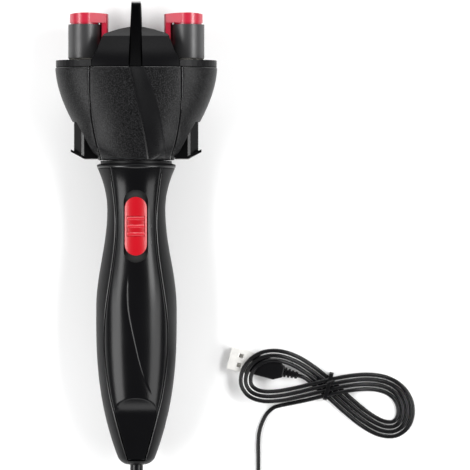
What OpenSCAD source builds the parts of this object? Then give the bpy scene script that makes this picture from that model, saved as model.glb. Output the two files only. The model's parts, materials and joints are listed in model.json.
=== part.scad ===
// Automatic hair braider: a corded hand tool whose turning head carries two twisting hooks.
// Every module is drawn standing: X to the right, Y to the back, Z up from the tail to the fin.
// lie_down() then lays the tool on its back, with its switch facing up.

/* [Handle] */
// Length of the handle, tail to collar
handle_l = 160; // [156:1:166]
// Width across the belly
belly_w = 43.6; // [42:0.2:46]
// Depth through the belly, front to back
belly_d = 43; // [41.5:0.5:44.5]
// Width of the waist below the collar
waist_w = 31.4; // [31:0.2:33]
// Depth through the waist
waist_d = 32.1; // [31.4:0.1:34]
// Width of the tail above its rounded end
tail_w = 17; // [15.5:0.5:19]
// Depth through the tail
tail_d = 19; // [18:0.5:22]
// How far the tail's middle lies behind the tool axis
tail_set = 7.5; // [6.5:0.5:9]
// Radius round the end of the tail
tail_r = 4.2; // [3:0.2:5]
// Thickness of the shells
wall = 2.2; // [1.8:0.1:2.4]
// Gap along every seam between the shells
seam = 0.3; // [0.2:0.05:0.4]
// Width of the glossy panel across the belly
panel_w = 34.2; // [32:0.2:36]
// Width of the glossy panel at the waist
panel_waist_w = 21.6; // [20.6:0.2:23]
// Width of the glossy panel under the collar
panel_top_w = 28; // [26:0.5:30]
// Width of the glossy panel at the tail's end
panel_tail_w = 7.2; // [6:0.2:8]
// Height at which the tail's thumb scoop starts
scoop_l = 36.5; // [34:0.5:39]
// How far the scoop's floor stands before the tool axis at the tail's end
scoop_end = 0.8; // [0.4:0.2:2]

/* [Switch] */
// Distance from the handle's top to the middle of the switch slot
switch_drop = 31.1; // [30:0.5:33]
// Length of the switch slot
slot_l = 39.4; // [38.6:0.2:42]
// Width of the switch slot
slot_w = 13.2; // [12.8:0.1:13.6]
// Length of the red slider
slider_l = 31.5; // [28:0.5:31.8]
// Width of the red slider
slider_w = 11.9; // [10:0.1:12.1]
// Travel of the slider each way from its middle stop
slider_travel = 3.5; // [2.5:0.1:3.5]
// How far the slider stands proud of the panel
slider_rise = 0.9; // [0.5:0.1:1.4]
// Width of the slider's stem
stem_w = 2.6; // [2:0.2:3.2]
// Length of the slider's stem along the handle
stem_l = 4; // [3:0.5:5]

/* [Neck] */
// Diameter of the collar's rim
collar_d = 42.6; // [42:0.2:43.6]
// Diameter of the handle's top under the rim
handle_top_d = 41.6; // [41:0.2:42.6]
// Height of the collar above the handle
collar_h = 4.2; // [3.8:0.1:5]
// Diameter of the groove between the collar and the head
groove_d = 38.6; // [38:0.2:39.6]
// Gap between the collar and the turning head
neck_gap = 0.4; // [0.3:0.1:0.8]
// Outer diameter of the head's hub
hub_d = 22; // [21:0.2:22.4]
// Wall of the neck bush
bush_t = 2.5; // [2:0.1:2.6]
// Radial running clearance of every shaft
run = 0.05; // [0.03:0.01:0.08]

/* [Head] */
// Height of the tool axis above the surface that the tool lies on
rest_h = 26; // [25.6:0.1:27]
// Width of the head under the deck
head_w = 87.4; // [87:0.2:90]
// Diameter of the head at its foot
neck_d = 41; // [40.4:0.2:42]
// Height of the head, foot to deck
head_h = 49.9; // [49.5:0.1:52]
// Width of the front panel at the deck
face_w = 49.2; // [47:0.2:50]
// Width of the front panel at the head's foot
face_foot_w = 37.2; // [36:0.2:38]
// Height of the side covers' ledge above the head's foot
ledge_h = 20.6; // [20:0.1:21.4]
// From the head's side to where the side covers' slanting foot starts
ledge_inset = 11.6; // [11.3:0.1:11.9]
// Half width at which the slanting foot ends
foot_x = 21.2; // [20.8:0.1:21.6]
// Depth of the swept facet in the front panel
swoosh_t = 1.1; // [0.6:0.1:1.3]
// Thickness of the deck plate
deck_t = 3.5; // [3:0.1:4]

/* [Dome and fin] */
// Width of the dome at the deck
dome_w = 47.2; // [46:0.2:48]
// Width of the dome's shoulders
dome_top_w = 35.8; // [34:0.2:36.6]
// Height of the dome from the deck's underside
dome_h = 21.6; // [20.5:0.1:22.5]
// Depth of the dome's shoulders, front to back
dome_top_d = 33; // [31:0.5:36]
// Height of the fin from the deck's underside
fin_h = 35.2; // [33:0.2:37]
// Thickness of the fin at the deck
fin_t = 7.4; // [6.8:0.1:8]
// Thickness of the fin at its tip
fin_tip_t = 5; // [4.4:0.1:5.6]
// Depth of the fin at its tip, front to back
fin_tip_d = 24; // [20:0.5:27]

/* [Barrels and hooks] */
// From the head's side to a barrel's axis
barrel_inset = 15.9; // [15.6:0.1:16.1]
// Diameter of a barrel
barrel_d = 17.9; // [17.6:0.1:18.2]
// Height of a barrel
barrel_h = 18.9; // [18:0.1:20]
// Gap between the deck and a barrel
barrel_gap = 0.6; // [0.4:0.1:1]
// Outer diameter of a spindle
spindle_d = 12.8; // [12.2:0.1:13.2]
// Inner diameter of a spindle, round its spring
spring_room_d = 9.2; // [8.8:0.1:9.6]
// Diameter of a hook's rod
rod_d = 3; // [2.6:0.1:3.4]
// Diameter of a hook's cap
cap_d = 16.2; // [15.6:0.1:16.8]
// Thickness of a hook's cap
cap_t = 5.4; // [5:0.1:6]
// Height of the hook's neck that fills the gap over the barrel
cap_gap = 0.9; // [0.6:0.1:1.2]
// Gap between a barrel and the leg of its hook
leg_gap = 0.35; // [0.3:0.05:0.5]
// Thickness of the hook's leg
leg_t = 3.5; // [3.1:0.1:3.6]
// Width of the hook's leg
leg_w = 9.6; // [8:0.2:10]
// How far the leg hangs below the barrel's top
leg_l = 11; // [10:0.5:12.5]
// How far the levers lift the hooks
hook_travel = 8; // [6:0.5:8]
// Thickness of the hook springs' wire
wire_d = 0.8; // [0.6:0.1:1]
// Number of coils in a hook spring
coils = 8; // [6:1:10]

/* [Drive] */
// Teeth on the sun gear
sun_teeth = 37; // [37:2:37]
// Teeth on each spindle
spindle_teeth = 18; // [18:2:18]
// Thickness of the gears
gear_t = 6; // [5:0.5:6]
// Backlash at the pitch circle
backlash = 0.25; // [0.2:0.05:0.35]
// Diameter of the drive shaft
shaft_d = 5; // [4:0.5:5]
// Diameter of the motor's can
motor_d = 24.4; // [23:0.2:25]
// Length of the motor's can
motor_l = 32; // [30:0.5:34]
// Diameter of the gearbox
gearbox_d = 25.2; // [24.4:0.2:26]
// Length of the gearbox
gearbox_l = 24; // [22:0.5:26]

/* [Levers] */
// From the head's side to a lever's outer face
lever_inset = 10.2; // [10:0.1:10.4]
// Half width at which a lever's inner face stands
lever_in_x = 20.8; // [20.4:0.1:21]
// Depth of a lever, front to back
lever_d = 23; // [21:0.5:24]
// Width of a lever's outer face, front to back
lever_face_d = 11; // [9:0.5:12]
// Thickness of a lever's lip
lip_t = 1.4; // [1.2:0.1:1.8]
// How far a lever's lip flares past the post
lip_out = 1.7; // [1.2:0.1:2.2]
// Clearance round a lever in its cover
lever_gap = 0.3; // [0.25:0.05:0.35]

/* [Screws] */
// Shank diameter of the screws
screw_d = 2; // [1.8:0.1:2.2]
// Head diameter of the screws
screw_head_d = 4; // [3.6:0.1:4.2]
// Outer diameter of the screw bosses
boss_d = 4.4; // [4.2:0.1:4.8]

/* [Cord] */
// Diameter of the cord
cord_d = 2.2; // [2.2:0.1:2.2]
// Length of the tapered strain relief
relief_l = 25; // [22:1:28]
// Diameter of the strain relief at the tail
relief_d = 7; // [6.6:0.2:7.6]
// Diameter of the hanging hole
hang_d = 2.6; // [2.2:0.1:3]
// Distance of the hanging hole from the tail
hang_x = 4.6; // [4:0.2:6]
// Turns of cord in the hank
turns = 4; // [4:1:4]
// Gap between neighbouring strands of the hank
strand_gap = 0.45; // [0.42:0.01:0.5]
// Width of the plug's moulded body
plug_w = 11; // [10:0.5:11.5]
// Thickness of the plug's moulded body
plug_t = 7; // [6.4:0.1:7]
// Length of the plug's moulded body
plug_l = 18; // [17:0.5:19]
// Width of the plug's metal shell
usb_w = 12; // [12:1:12]
// Thickness of the plug's metal shell
usb_t = 4.5; // [4.5:0.1:4.5]
// Thickness of the tie round the hank's waist
tie_t = 0.7; // [0.5:0.1:0.8]

/* [Hidden] */

black_gloss = [0.05, 0.05, 0.055];
black_satin = [0.16, 0.16, 0.17];
grey_satin = [0.38, 0.38, 0.39];
hook_red = [0.85, 0.12, 0.22];
steel = [0.7, 0.7, 0.72];
nylon = [0.85, 0.84, 0.8];
brass_col = [0.75, 0.6, 0.3];

// Heights of the parts along the tool
head_z = handle_l + collar_h + neck_gap;
deck_z = head_z + head_h + seam;
deck_top = deck_z + deck_t;
tool_l = deck_z + fin_h;
barrel_z = deck_top + barrel_gap;
barrel_top = barrel_z + barrel_h;
cap_z = barrel_top + cap_gap;
ledge_z = head_z + ledge_h;
plate_t = 2.5;
plate_z = deck_z - 19;
gear_z = plate_z + plate_t + 1.7;
lever_top = plate_z - hook_travel - 0.8;
rod_z = lever_top + 0.3;
pitch = head_w - 2 * barrel_inset;
barrel_x = pitch / 2;
lever_x = head_w / 2 - lever_inset;
ledge_x = head_w / 2 - ledge_inset;
bush_d = hub_d + 2 * bush_t;
switch_z = handle_l - switch_drop;

// Radii and clearances that several parts share
neck_r = neck_d / 2;
spindle_r = spindle_d / 2;
shaft_r = shaft_d / 2;
leg_in_r = barrel_d / 2 + leg_gap;
leg_out_r = leg_in_r + leg_t;
pocket_r = leg_out_r + 0.4;
eps = 0.01;
far = 80;
sides = 44;

// ---------- Placing ----------

module lie_down() translate([0, -tool_l / 2, rest_h]) rotate([-90, 0, 0]) children();

// Prism of an outline drawn in X and Z, from y0 to y1
module front_prism(points, y0, y1)
  translate([0, y1, 0]) rotate([90, 0, 0]) linear_extrude(y1 - y0) polygon(points);

// Prism of an outline drawn in Y and Z, from x0 to x1
module side_prism(points, x0, x1)
  translate([x0, 0, 0]) rotate([90, 0, 90]) linear_extrude(x1 - x0) polygon(points);

// A mirrored pair of children, to the right and to the left
module both_sides() {
  children();
  mirror([1, 0, 0]) children();
}

// Right for side = 1, left for side = -1
module on_side(side) mirror([side < 0 ? 1 : 0, 0, 0]) children();

module tube_z(outer_r, inner_r, z0, z1)
  difference() {
    translate([0, 0, z0]) cylinder(h = z1 - z0, r = outer_r, $fn = 64);
    translate([0, 0, z0 - 1]) cylinder(h = z1 - z0 + 2, r = inner_r, $fn = 64);
  }

// A rod that lies along Y, from y0 to y1
module rod_y(r, y0, y1) translate([0, y1, 0]) rotate([90, 0, 0]) cylinder(h = y1 - y0, r = r, $fn = 32);

// ---------- Lofts ----------

// Closed solid through rings that have the same number of points
module loft(rings) {
  n = len(rings[0]);
  last = len(rings) - 1;
  points = [for (ring = rings) each ring];
  faces = [
    for (i = [0 : last - 1], j = [0 : n - 1])
      let (a = i * n + j, b = i * n + (j + 1) % n)
      each [[a, b + n, b], [a, a + n, b + n]],
    [for (j = [0 : n - 1]) j],
    [for (j = [n - 1 : -1 : 0]) last * n + j]
  ];
  polyhedron(points, faces, convexity = 6);
}

// Closed shell between two grids of points: outside and inside, with rims on all four edges
module shell_grid(outside, inside) {
  rows = len(outside);
  cols = len(outside[0]);
  half = rows * cols;
  points = [for (row = outside) each row, for (row = inside) each row];
  faces = [
    for (i = [0 : rows - 2], j = [0 : cols - 2])
      let (a = i * cols + j, b = a + 1, c = b + cols, d = a + cols)
      each [[a, c, b], [a, d, c], [half + a, half + b, half + c], [half + a, half + c, half + d]],
    for (j = [0 : cols - 2])
      let (a = j, b = j + 1, c = (rows - 1) * cols + j, d = c + 1)
      each [[a, b, half + b], [a, half + b, half + a], [c, half + d, d], [c, half + c, half + d]],
    for (i = [0 : rows - 2])
      let (a = i * cols, b = a + cols, c = a + cols - 1, d = c + cols)
      each [[a, half + b, b], [a, half + a, half + b], [c, d, half + d], [c, half + d, half + c]]
  ];
  polyhedron(points, faces, convexity = 8);
}

// Superellipse ring: half width w, half depth h, middle at y = c
function bulge(v, n) = sign(v) * pow(abs(v), 2 / n);
function ring(w, h, c, n, z, count = sides) =
  [for (j = [0 : count - 1])
    let (a = 360 * j / count)
    [w * bulge(sin(a), n), c - h * bulge(cos(a), n), z]];

// Depth of a superellipse at x, measured from its middle
function depth_at(x, w, h, n) = h * pow(max(0, 1 - pow(min(1, abs(x) / w), n)), 1 / n);

// ---------- Handle form ----------

belly_low = 78 / 160 * handle_l;
belly_high = 84 / 160 * handle_l;
waist_z = 138 / 160 * handle_l;
handle_n = 2.2;

// Value that swells from the tail to the belly, draws in at the waist and flares to the top
function swell(z, tail, belly, waist, top) =
  z < belly_low ? tail + (belly - tail) * (1 - pow(1 - z / belly_low, 2.4)) :
  z < belly_high ? belly :
  z < waist_z ? belly + (waist - belly) * (1 - cos(180 * (z - belly_high) / (waist_z - belly_high))) / 2 :
  waist + (top - waist) * pow((z - waist_z) / (handle_l - waist_z), 1.95);

function tail_round(z) = z >= tail_r ? 0 : tail_r - sqrt(tail_r * tail_r - pow(tail_r - z, 2));
function handle_w_at(z) = swell(z, tail_w / 2, belly_w / 2, waist_w / 2, handle_top_d / 2) - tail_round(z);
function handle_h_at(z) = swell(z, tail_d / 2, belly_d / 2, waist_d / 2, handle_top_d / 2) - tail_round(z);
function handle_c_at(z) = swell(z, tail_set, rest_h - belly_d / 2, 0.5, 0);
function handle_front(z) = handle_h_at(z) - handle_c_at(z);

// Closed core of the handle between two heights, a little inside its surface
module handle_core(z0, z1, inset)
  loft([for (i = [0 : 2]) let (z = mix(z0, z1, i / 2))
    ring(handle_w_at(z) - inset, handle_h_at(z) - inset, handle_c_at(z), handle_n, z, 28)]);

// Half width of the glossy panel at height z
function mix(a, b, t) = a + (b - a) * t;
panel_mid = 68 / 160 * handle_l;
panel_neck = 131 / 160 * handle_l;
function panel_free(z) =
  z < scoop_l ? mix(panel_tail_w, panel_w * 0.8, pow(z / scoop_l, 0.85)) / 2 :
  z < panel_mid ? mix(panel_w * 0.8, panel_w, sin(90 * (z - scoop_l) / (panel_mid - scoop_l))) / 2 :
  z < panel_neck ? mix(panel_w, panel_waist_w,
    (1 - cos(180 * (z - panel_mid) / (panel_neck - panel_mid))) / 2) / 2 :
  mix(panel_waist_w, panel_top_w, pow((z - panel_neck) / (handle_l - panel_neck), 1.6)) / 2;
function panel_at(z) = min(panel_free(z), handle_w_at(z) - 0.6);

// The thumb scoop's floor, as a distance in front of the tool axis
scoop_turn = scoop_l - 9.5;
scoop_slope = 0.248;
function scoop_floor(z) =
  let (line = scoop_end + scoop_slope * z, turn = scoop_end + scoop_slope * scoop_l)
  line + (z > scoop_turn ?
    (handle_front(scoop_l) - turn) * pow((z - scoop_turn) / (scoop_l - scoop_turn), 1.6) : 0);

tail_solid = scoop_turn + 3;
step_z = tail_solid + 0.4;

// Heights of the handle's rings: close together round the tail's end, then evenly up to the top
tail_steps = [for (a = [0 : 30 : 60]) tail_r * (1 - cos(a))];
lip_z = tail_r / 2 + 0.2;
lower_steps = concat([tail_r], [for (i = [1 : 4]) mix(tail_r, tail_solid, i / 4)]);
upper_steps = [for (i = [1 : 15]) mix(step_z + 0.4, handle_l, i / 15)];

// Depth of the handle's front surface, on the panel, at a distance inset inside it
function handle_y(x, z, inset) =
  handle_c_at(z) - depth_at(x, handle_w_at(z) - inset, handle_h_at(z) - inset, handle_n);
function panel_out_y(x, z) = z < scoop_l ? max(handle_y(x, z, 0), -scoop_floor(z)) : handle_y(x, z, 0);
function panel_in_y(x, z) =
  z <= step_z ? -scoop_floor(z) + wall :
  z < scoop_l ? max(handle_y(x, z, wall), -scoop_floor(z) + wall) : handle_y(x, z, wall);

panel_cols = 12;
module panel_shell() {
  zs = concat([lip_z + seam], lower_steps, [step_z, step_z + 0.4], upper_steps);
  function row(z, inner) = [for (j = [-panel_cols : 2 : panel_cols])
    let (x = (panel_at(z) - seam / 2) * j / panel_cols)
    [x, inner ? panel_in_y(x, z) : panel_out_y(x, z), z]];
  shell_grid([for (z = zs) row(z, false)], [for (z = zs) row(z, true)]);
}

// Angle on a ring of half width w where its front side passes x
function ring_angle(x, w, n) = asin(pow(min(0.999, x / w), n / 2));
function ring_point(a, w, h, c, n, z) = [w * bulge(sin(a), n), c - h * bulge(cos(a), n), z];

// Points from the right seam at x, round the back, to the left seam
function back_row(x, w, h, c, n, z, cols) =
  let (a0 = ring_angle(x, w, n))
  [for (j = [0 : cols]) ring_point(mix(a0, 360 - a0, j / cols), w, h, c, n, z)];

rear_cols = 26;
module rear_shell() {
  function edge(z) = panel_at(z) + seam / 2;
  function outer(z) = back_row(edge(z), handle_w_at(z), handle_h_at(z), handle_c_at(z), handle_n, z, rear_cols);
  function seat(z) = [for (j = [0 : rear_cols])
    [edge(z) * (1 - 2 * j / rear_cols), -scoop_floor(z) + wall + seam, z]];
  // Under the panel's lower end the front is closed by the tail's own surface.
  function lip(z) = [for (j = [0 : rear_cols])
    let (x = (edge(z) - 0.02) * (1 - 2 * j / rear_cols))
    [x, handle_y(x, z, 0), z]];
  function inner(z) = back_row(edge(z), handle_w_at(z) - wall, handle_h_at(z) - wall, handle_c_at(z),
    handle_n, z, rear_cols);
  shell_grid(
    [for (z = concat(tail_steps, [lip_z], lower_steps, [tail_solid + 0.2], upper_steps)) outer(z)],
    concat([for (z = tail_steps) lip(z)], [for (z = concat([lip_z], lower_steps)) seat(z)],
      [for (z = concat([tail_solid + 0.2], upper_steps)) inner(z)])
  );
}

// Screws of the handle: x, z
handle_screw_spots = [[0, 39], [10.6, handle_l - 48], [-10.6, handle_l - 48]];
head_screw_x = 16;
head_screw_low = head_z + 17.4;
head_screw_high = gear_z + gear_t + boss_d / 2 + 2.8;
head_screw_spots = [
  [head_screw_x, head_screw_high], [-head_screw_x, head_screw_high],
  [head_screw_x - 1, head_screw_low], [1 - head_screw_x, head_screw_low]
];
thread_gap = 0.02;

// A pan head screw that drives in from the back; y is the height of the seat under its head
module screw(y, length) {
  rod_y(screw_d / 2, y - length, y);
  difference() {
    rod_y(screw_head_d / 2, y, y + 1.5);
    translate([0, y + 1, 0]) cube([0.6, 1.2, screw_head_d], center = true);
    translate([0, y + 1, 0]) cube([screw_head_d, 1.2, 0.6], center = true);
  }
}

handle_boss_y = 6;
handle_seat_y = handle_boss_y + 3;
rear_boss_r = screw_head_d / 2 + 1.4;

module handle_rear_shell() color(black_satin) lie_down()
  difference() {
    union() {
      rear_shell();
      for (z = cradle_spots) translate([0, 0, z - 1]) linear_extrude(2) intersection() {
        rib_outline(z);
        translate([-far, handle_c_at(z) + 1]) square([2 * far, far]);
      }
      intersection() {
        handle_core(handle_screw_spots[0][1] - 5, handle_screw_spots[0][1] + 5, wall / 2);
        translate([0, 0, handle_screw_spots[0][1]]) rod_y(rear_boss_r, handle_boss_y, far);
      }
      intersection() {
        handle_core(handle_screw_spots[1][1] - 5, handle_screw_spots[1][1] + 5, wall / 2);
        both_sides() translate([handle_screw_spots[1][0], 0, handle_screw_spots[1][1]])
          rod_y(rear_boss_r, handle_boss_y, far);
      }
    }
    translate([0, 0, motor_z - 3]) cylinder(h = motor_l + 3, r = motor_d / 2 + 0.15, $fn = 64);
    translate([0, 0, gearbox_z - eps]) cylinder(h = gearbox_l + 2, r = gearbox_d / 2 + 0.15, $fn = 64);
    for (spot = handle_screw_spots) translate([spot[0], 0, spot[1]]) {
      rod_y(screw_d / 2 + 0.2, -1, far);
      rod_y(screw_head_d / 2 + 0.3, handle_seat_y, far);
    }
    relief_socket(run);
  }

module rib_outline(z)
  polygon([for (p = ring(handle_w_at(z) - wall / 2, handle_h_at(z) - wall / 2, handle_c_at(z),
    handle_n, z, 40)) [p[0], p[1]]]);

// Fine groove down the panel from under the switch, swinging out to the right: x and z
crease_w = 0.6;
crease_depth = 0.35;
crease_spots = [[-4, 102], [-4.3, 92], [-3.7, 83], [-0.9, 68.6], [3.5, 51], [8.4, 39]];
crease_path = [for (spot = crease_spots) [spot[0], spot[1] / 160 * handle_l]];

module crease()
  difference() {
    front_prism(concat(
      [for (p = crease_path) [p[0] - crease_w / 2, p[1]]],
      [for (i = [len(crease_path) - 1 : -1 : 0]) [crease_path[i][0] + crease_w / 2, crease_path[i][1]]]
    ), -far, 0);
    handle_core(crease_path[5][1] - 2, crease_path[0][1] + 2, crease_depth);
  }

module handle_front_panel() color(black_gloss) lie_down()
  difference() {
    union() {
      panel_shell();
      for (spot = handle_screw_spots)
        intersection() {
          handle_core(spot[1] - 4, spot[1] + 4, wall / 2);
          translate([spot[0], 0, spot[1]]) rod_y(boss_d / 2 - 0.2, -far, handle_boss_y - seam);
        }
    }
    for (spot = handle_screw_spots) translate([spot[0], 0, spot[1]])
      rod_y(screw_d / 2 + thread_gap, handle_boss_y - 12, far);
    obround_y(slot_w, slot_l, -far, 0);
    crease();
  }

module handle_screws() color(steel) lie_down()
  for (spot = handle_screw_spots) translate([spot[0], 0, spot[1]]) screw(handle_seat_y, 12);

// ---------- Switch ----------

// Obround block over the switch slot, from y0 to y1
module obround_y(w, l, y0, y1)
  translate([0, y1, switch_z]) rotate([90, 0, 0]) linear_extrude(y1 - y0) {
    square([w, l - w], center = true);
    translate([0, (l - w) / 2]) circle(d = w, $fn = 48);
    translate([0, -(l - w) / 2]) circle(d = w, $fn = 48);
  }

front_y = -handle_front(switch_z);
tray_y = front_y + 2.3;
flange_y = -depth_at((slot_w + 3.4) / 2, handle_w_at(switch_z) - wall, handle_h_at(switch_z) - wall,
  handle_n) + handle_c_at(switch_z) + 0.7;
flange_t = 1.2;
board_t = 1.4;
board_y = -shaft_r - 1.3 - board_t;
switch_body_t = 3.8;
stem_end_y = board_y - switch_body_t - 0.2;
stem_room_l = stem_l + 2 * slider_travel + 0.8;

module switch_tray() color(black_satin) lie_down()
  difference() {
    union() {
      obround_y(slot_w - 0.2, slot_l - 0.2, tray_y, flange_y + flange_t);
      obround_y(slot_w + 3.4, slot_l + 1.6, flange_y, flange_y + flange_t);
      for (x = [-1, 1], z = [-1, 1])
        translate([x * (slot_w / 2 - 2), 0, switch_z + z * (slot_l / 2 - 3)])
          rod_y(1.2, flange_y, board_y);
    }
    translate([-stem_w / 2 - 0.3, tray_y - 1, switch_z - stem_room_l / 2])
      cube([stem_w + 0.6, far, stem_room_l]);
    translate([-slot_w / 2 + 1.4, tray_y + 1.2, switch_z - slot_l / 2 + 7])
      cube([slot_w - 2.8, far, slot_l - 14]);
  }

rib_pitch = 4.25;
rib_w = 9.8;

module switch_slider() color(hook_red) lie_down() {
  difference() {
    intersection() {
      obround_y(slider_w, slider_l, -far, tray_y - 0.3);
      cylinder(h = handle_l, r = -front_y + slider_rise, $fn = 96);
    }
    intersection() {
      translate([-rib_w / 2, -far, switch_z - rib_pitch * 1.3]) cube([rib_w, far, rib_pitch * 2.6]);
      difference() {
        cylinder(h = handle_l, r = far, $fn = 96);
        cylinder(h = handle_l, r = -front_y + slider_rise - 0.7, $fn = 96);
      }
    }
  }
  intersection() {
    for (i = [-1 : 1])
      translate([-rib_w / 2, -far, switch_z + i * rib_pitch - 0.5]) cube([rib_w, far + tray_y - 0.5, 1]);
    cylinder(h = handle_l, r = -front_y + slider_rise, $fn = 96);
    obround_y(slider_w, slider_l, -far, tray_y - 0.3);
  }
  translate([-stem_w / 2, tray_y - 0.3 - eps, switch_z - stem_l / 2])
    cube([stem_w, stem_end_y - tray_y + 0.3 - 1, stem_l]);
}

knob_t = 1.4;

module switch_knob() color(nylon) lie_down()
  translate([-1.2, stem_end_y - 1, switch_z - 1.6]) cube([2.4, knob_t + 1, 3.2]);

module slide_switch() color(steel) lie_down()
  difference() {
    translate([-3.6, board_y - switch_body_t, switch_z - 9.5]) cube([7.2, switch_body_t, 19]);
    translate([-1.6, board_y - switch_body_t - 1, switch_z - 1.6 - slider_travel - 0.3])
      cube([3.2, 1 + knob_t + 0.3, 3.2 + 2 * slider_travel + 0.6]);
  }

module control_board() color([0.1, 0.35, 0.2]) lie_down() {
  difference() {
    translate([-slot_w / 2 + 0.4, board_y, switch_z - slot_l / 2 - 1])
      cube([slot_w - 0.8, board_t, slot_l - 0.6]);
    for (z = [-1, 1]) translate([0, 0, switch_z + z * (slot_l / 2 - 3)]) rod_y(0.8, -far, far);
  }
}

// ---------- Neck ----------

sleeve_drop = 7.5;
spigot_drop = 3;
bush_z = handle_l - 6.5;
neck_top = handle_l + collar_h;

module neck_collar() color(black_satin) lie_down() {
  sleeve_r = handle_w_at(handle_l - sleeve_drop) - wall - 0.4;
  spigot_r = handle_w_at(handle_l - spigot_drop) - wall - 0.3;
  rim_r = collar_d / 2;
  top_r = handle_top_d / 2;
  rotate_extrude($fn = 96) polygon([
    [bush_d / 2, handle_l - sleeve_drop], [sleeve_r, handle_l - sleeve_drop],
    [sleeve_r, handle_l - spigot_drop], [spigot_r, handle_l - spigot_drop],
    [spigot_r, handle_l + eps], [top_r, handle_l + eps], [mix(top_r, rim_r, 0.7), handle_l + 0.8],
    [rim_r, handle_l + 1.7], [rim_r - 0.2, handle_l + 2.1], [rim_r - 0.9, handle_l + 2.4],
    [groove_d / 2, handle_l + 2.7], [groove_d / 2, neck_top], [bush_d / 2, neck_top]
  ]);
}

module neck_bush() color(nylon) lie_down() {
  tube_z(bush_d / 2, hub_d / 2 + run, bush_z, neck_top);
}

ring_z = handle_l - 8;
ring_t = 1.2;
ring_in_r = hub_d / 2 - 0.8;

module retaining_ring() color(steel) lie_down()
  difference() {
    tube_z(hub_d / 2 + 1.6, ring_in_r, ring_z, ring_z + ring_t);
    translate([-3, 0, ring_z - 1]) cube([6, far, ring_t + 2]);
  }

clutch_z = handle_l - 7.4;
clutch_l = 8;
clutch_r = hub_d / 2 - 3;

module one_way_clutch() color(steel) lie_down()
  tube_z(clutch_r, shaft_r + run, clutch_z, clutch_z + clutch_l);

// ---------- Motor and drive ----------

gearbox_z = handle_l / 2;
motor_z = gearbox_z - motor_l;
gearbox_boss_l = 3;
shaft_z = gearbox_z + gearbox_l + gearbox_boss_l - 8;
cradle_spots = [motor_z + 6, motor_z + motor_l - 8, gearbox_z + gearbox_l / 2];

module motor() color(steel) lie_down() {
  intersection() {
    translate([0, 0, motor_z]) cylinder(h = motor_l, r = motor_d / 2, $fn = 64);
    translate([-far, -motor_d / 2 + 1.6, motor_z]) cube([2 * far, motor_d - 3.2, motor_l]);
  }
}

module motor_end_cap() color(nylon) lie_down() {
  cap_r = motor_d / 2 - 2.4;
  translate([0, 0, motor_z - 2]) cylinder(h = 2, r = cap_r, $fn = 64);
  for (x = [-1, 1]) translate([x * 6 - 1, -0.4, motor_z - 6]) cube([2, 0.8, 4.2]);
}

module gearbox() color([0.3, 0.3, 0.32]) lie_down()
  difference() {
    union() {
      translate([0, 0, gearbox_z]) cylinder(h = gearbox_l, r = gearbox_d / 2, $fn = 64);
      translate([0, 0, gearbox_z + gearbox_l - eps])
        cylinder(h = gearbox_boss_l + eps, r = shaft_r + 2.4, $fn = 48);
    }
    translate([0, 0, shaft_z - 0.3]) cylinder(h = 20, r = shaft_r + run, $fn = 48);
  }

sun_hub_top = gear_z + gear_t + 0.6;
shaft_top = gear_z + gear_t + 3;

module drive_shaft() color(steel) lie_down()
  translate([0, 0, shaft_z]) cylinder(h = shaft_top - shaft_z, r = shaft_r, $fn = 48);

// Involute teeth. Angles are in degrees.
gear_m = pitch / (sun_teeth + spindle_teeth);
pressure = 20;
function inv(a) = tan(a) * 180 / PI - a;
function flank(teeth, r) =
  let (pitch_r = gear_m * teeth / 2, base_r = pitch_r * cos(pressure), c = min(1, base_r / r))
  90 / teeth + inv(pressure) - inv(acos(c)) - backlash / 2 / pitch_r * 180 / PI;

module gear_outline(teeth) {
  pitch_r = gear_m * teeth / 2;
  root = pitch_r - 1.2 * gear_m;
  tip = pitch_r + 0.92 * gear_m;
  radii = [for (i = [0 : 4]) mix(root, tip, i / 4)];
  polygon([for (t = [0 : teeth - 1])
    let (middle = 360 * t / teeth)
    each concat(
      [for (r = radii) let (a = middle - flank(teeth, r)) r * [cos(a), sin(a)]],
      [for (i = [4 : -1 : 0])
        let (r = radii[i], a = middle + flank(teeth, r)) r * [cos(a), sin(a)]]
    )]);
}

module sun_gear() color(nylon) lie_down()
  difference() {
    union() {
      translate([0, 0, gear_z]) linear_extrude(gear_t) gear_outline(sun_teeth);
      translate([0, 0, gear_z - 1]) cylinder(h = sun_hub_top - gear_z + 1, r = shaft_r + 3, $fn = 48);
    }
    cylinder(h = tool_l, r = shaft_r, $fn = 48);
    for (a = [30 : 60 : 330]) rotate(a) translate([gear_m * sun_teeth * 0.3, 0, 0])
      cylinder(h = tool_l, r = 3, $fn = 32);
  }

spindle_top = barrel_z + 6;
guide_t = 3;

module spindle(side) {
  // The left spindle has a tooth towards the sun gear, and the right one a gap.
  turn = side > 0 ? 180 / spindle_teeth : 0;
  color(nylon) lie_down() translate([side * barrel_x, 0, 0])
    difference() {
      union() {
        translate([0, 0, plate_z]) cylinder(h = spindle_top - plate_z, r = spindle_r, $fn = 64);
        translate([0, 0, gear_z]) linear_extrude(gear_t) rotate(turn) gear_outline(spindle_teeth);
        translate([0, 0, plate_z + plate_t + 0.3])
          cylinder(h = gear_z - plate_z - plate_t - 0.3 + eps, r = spindle_r + 0.8, $fn = 64);
      }
      translate([0, 0, plate_z + guide_t]) cylinder(h = far, r = spring_room_d / 2, $fn = 48);
      cylinder(h = tool_l, r = rod_d / 2 + run, $fn = 32);
    }
}

module left_spindle() spindle(-1);
module right_spindle() spindle(1);

bush_out_r = spindle_r + 1.6;

module spindle_bush(side) color(brass_col) lie_down() translate([side * barrel_x, 0, 0]) {
  tube_z(bush_out_r, spindle_r + run, deck_z, deck_top);
  tube_z(bush_out_r + 1, spindle_r + run, deck_top, deck_top + barrel_gap - 0.3);
}

module left_spindle_bush() spindle_bush(-1);
module right_spindle_bush() spindle_bush(1);

// ---------- Barrels, hooks and levers ----------

top_wall = 2.4;
key_w = 4;
key_t = 1;
room_top = barrel_top - top_wall;

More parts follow.
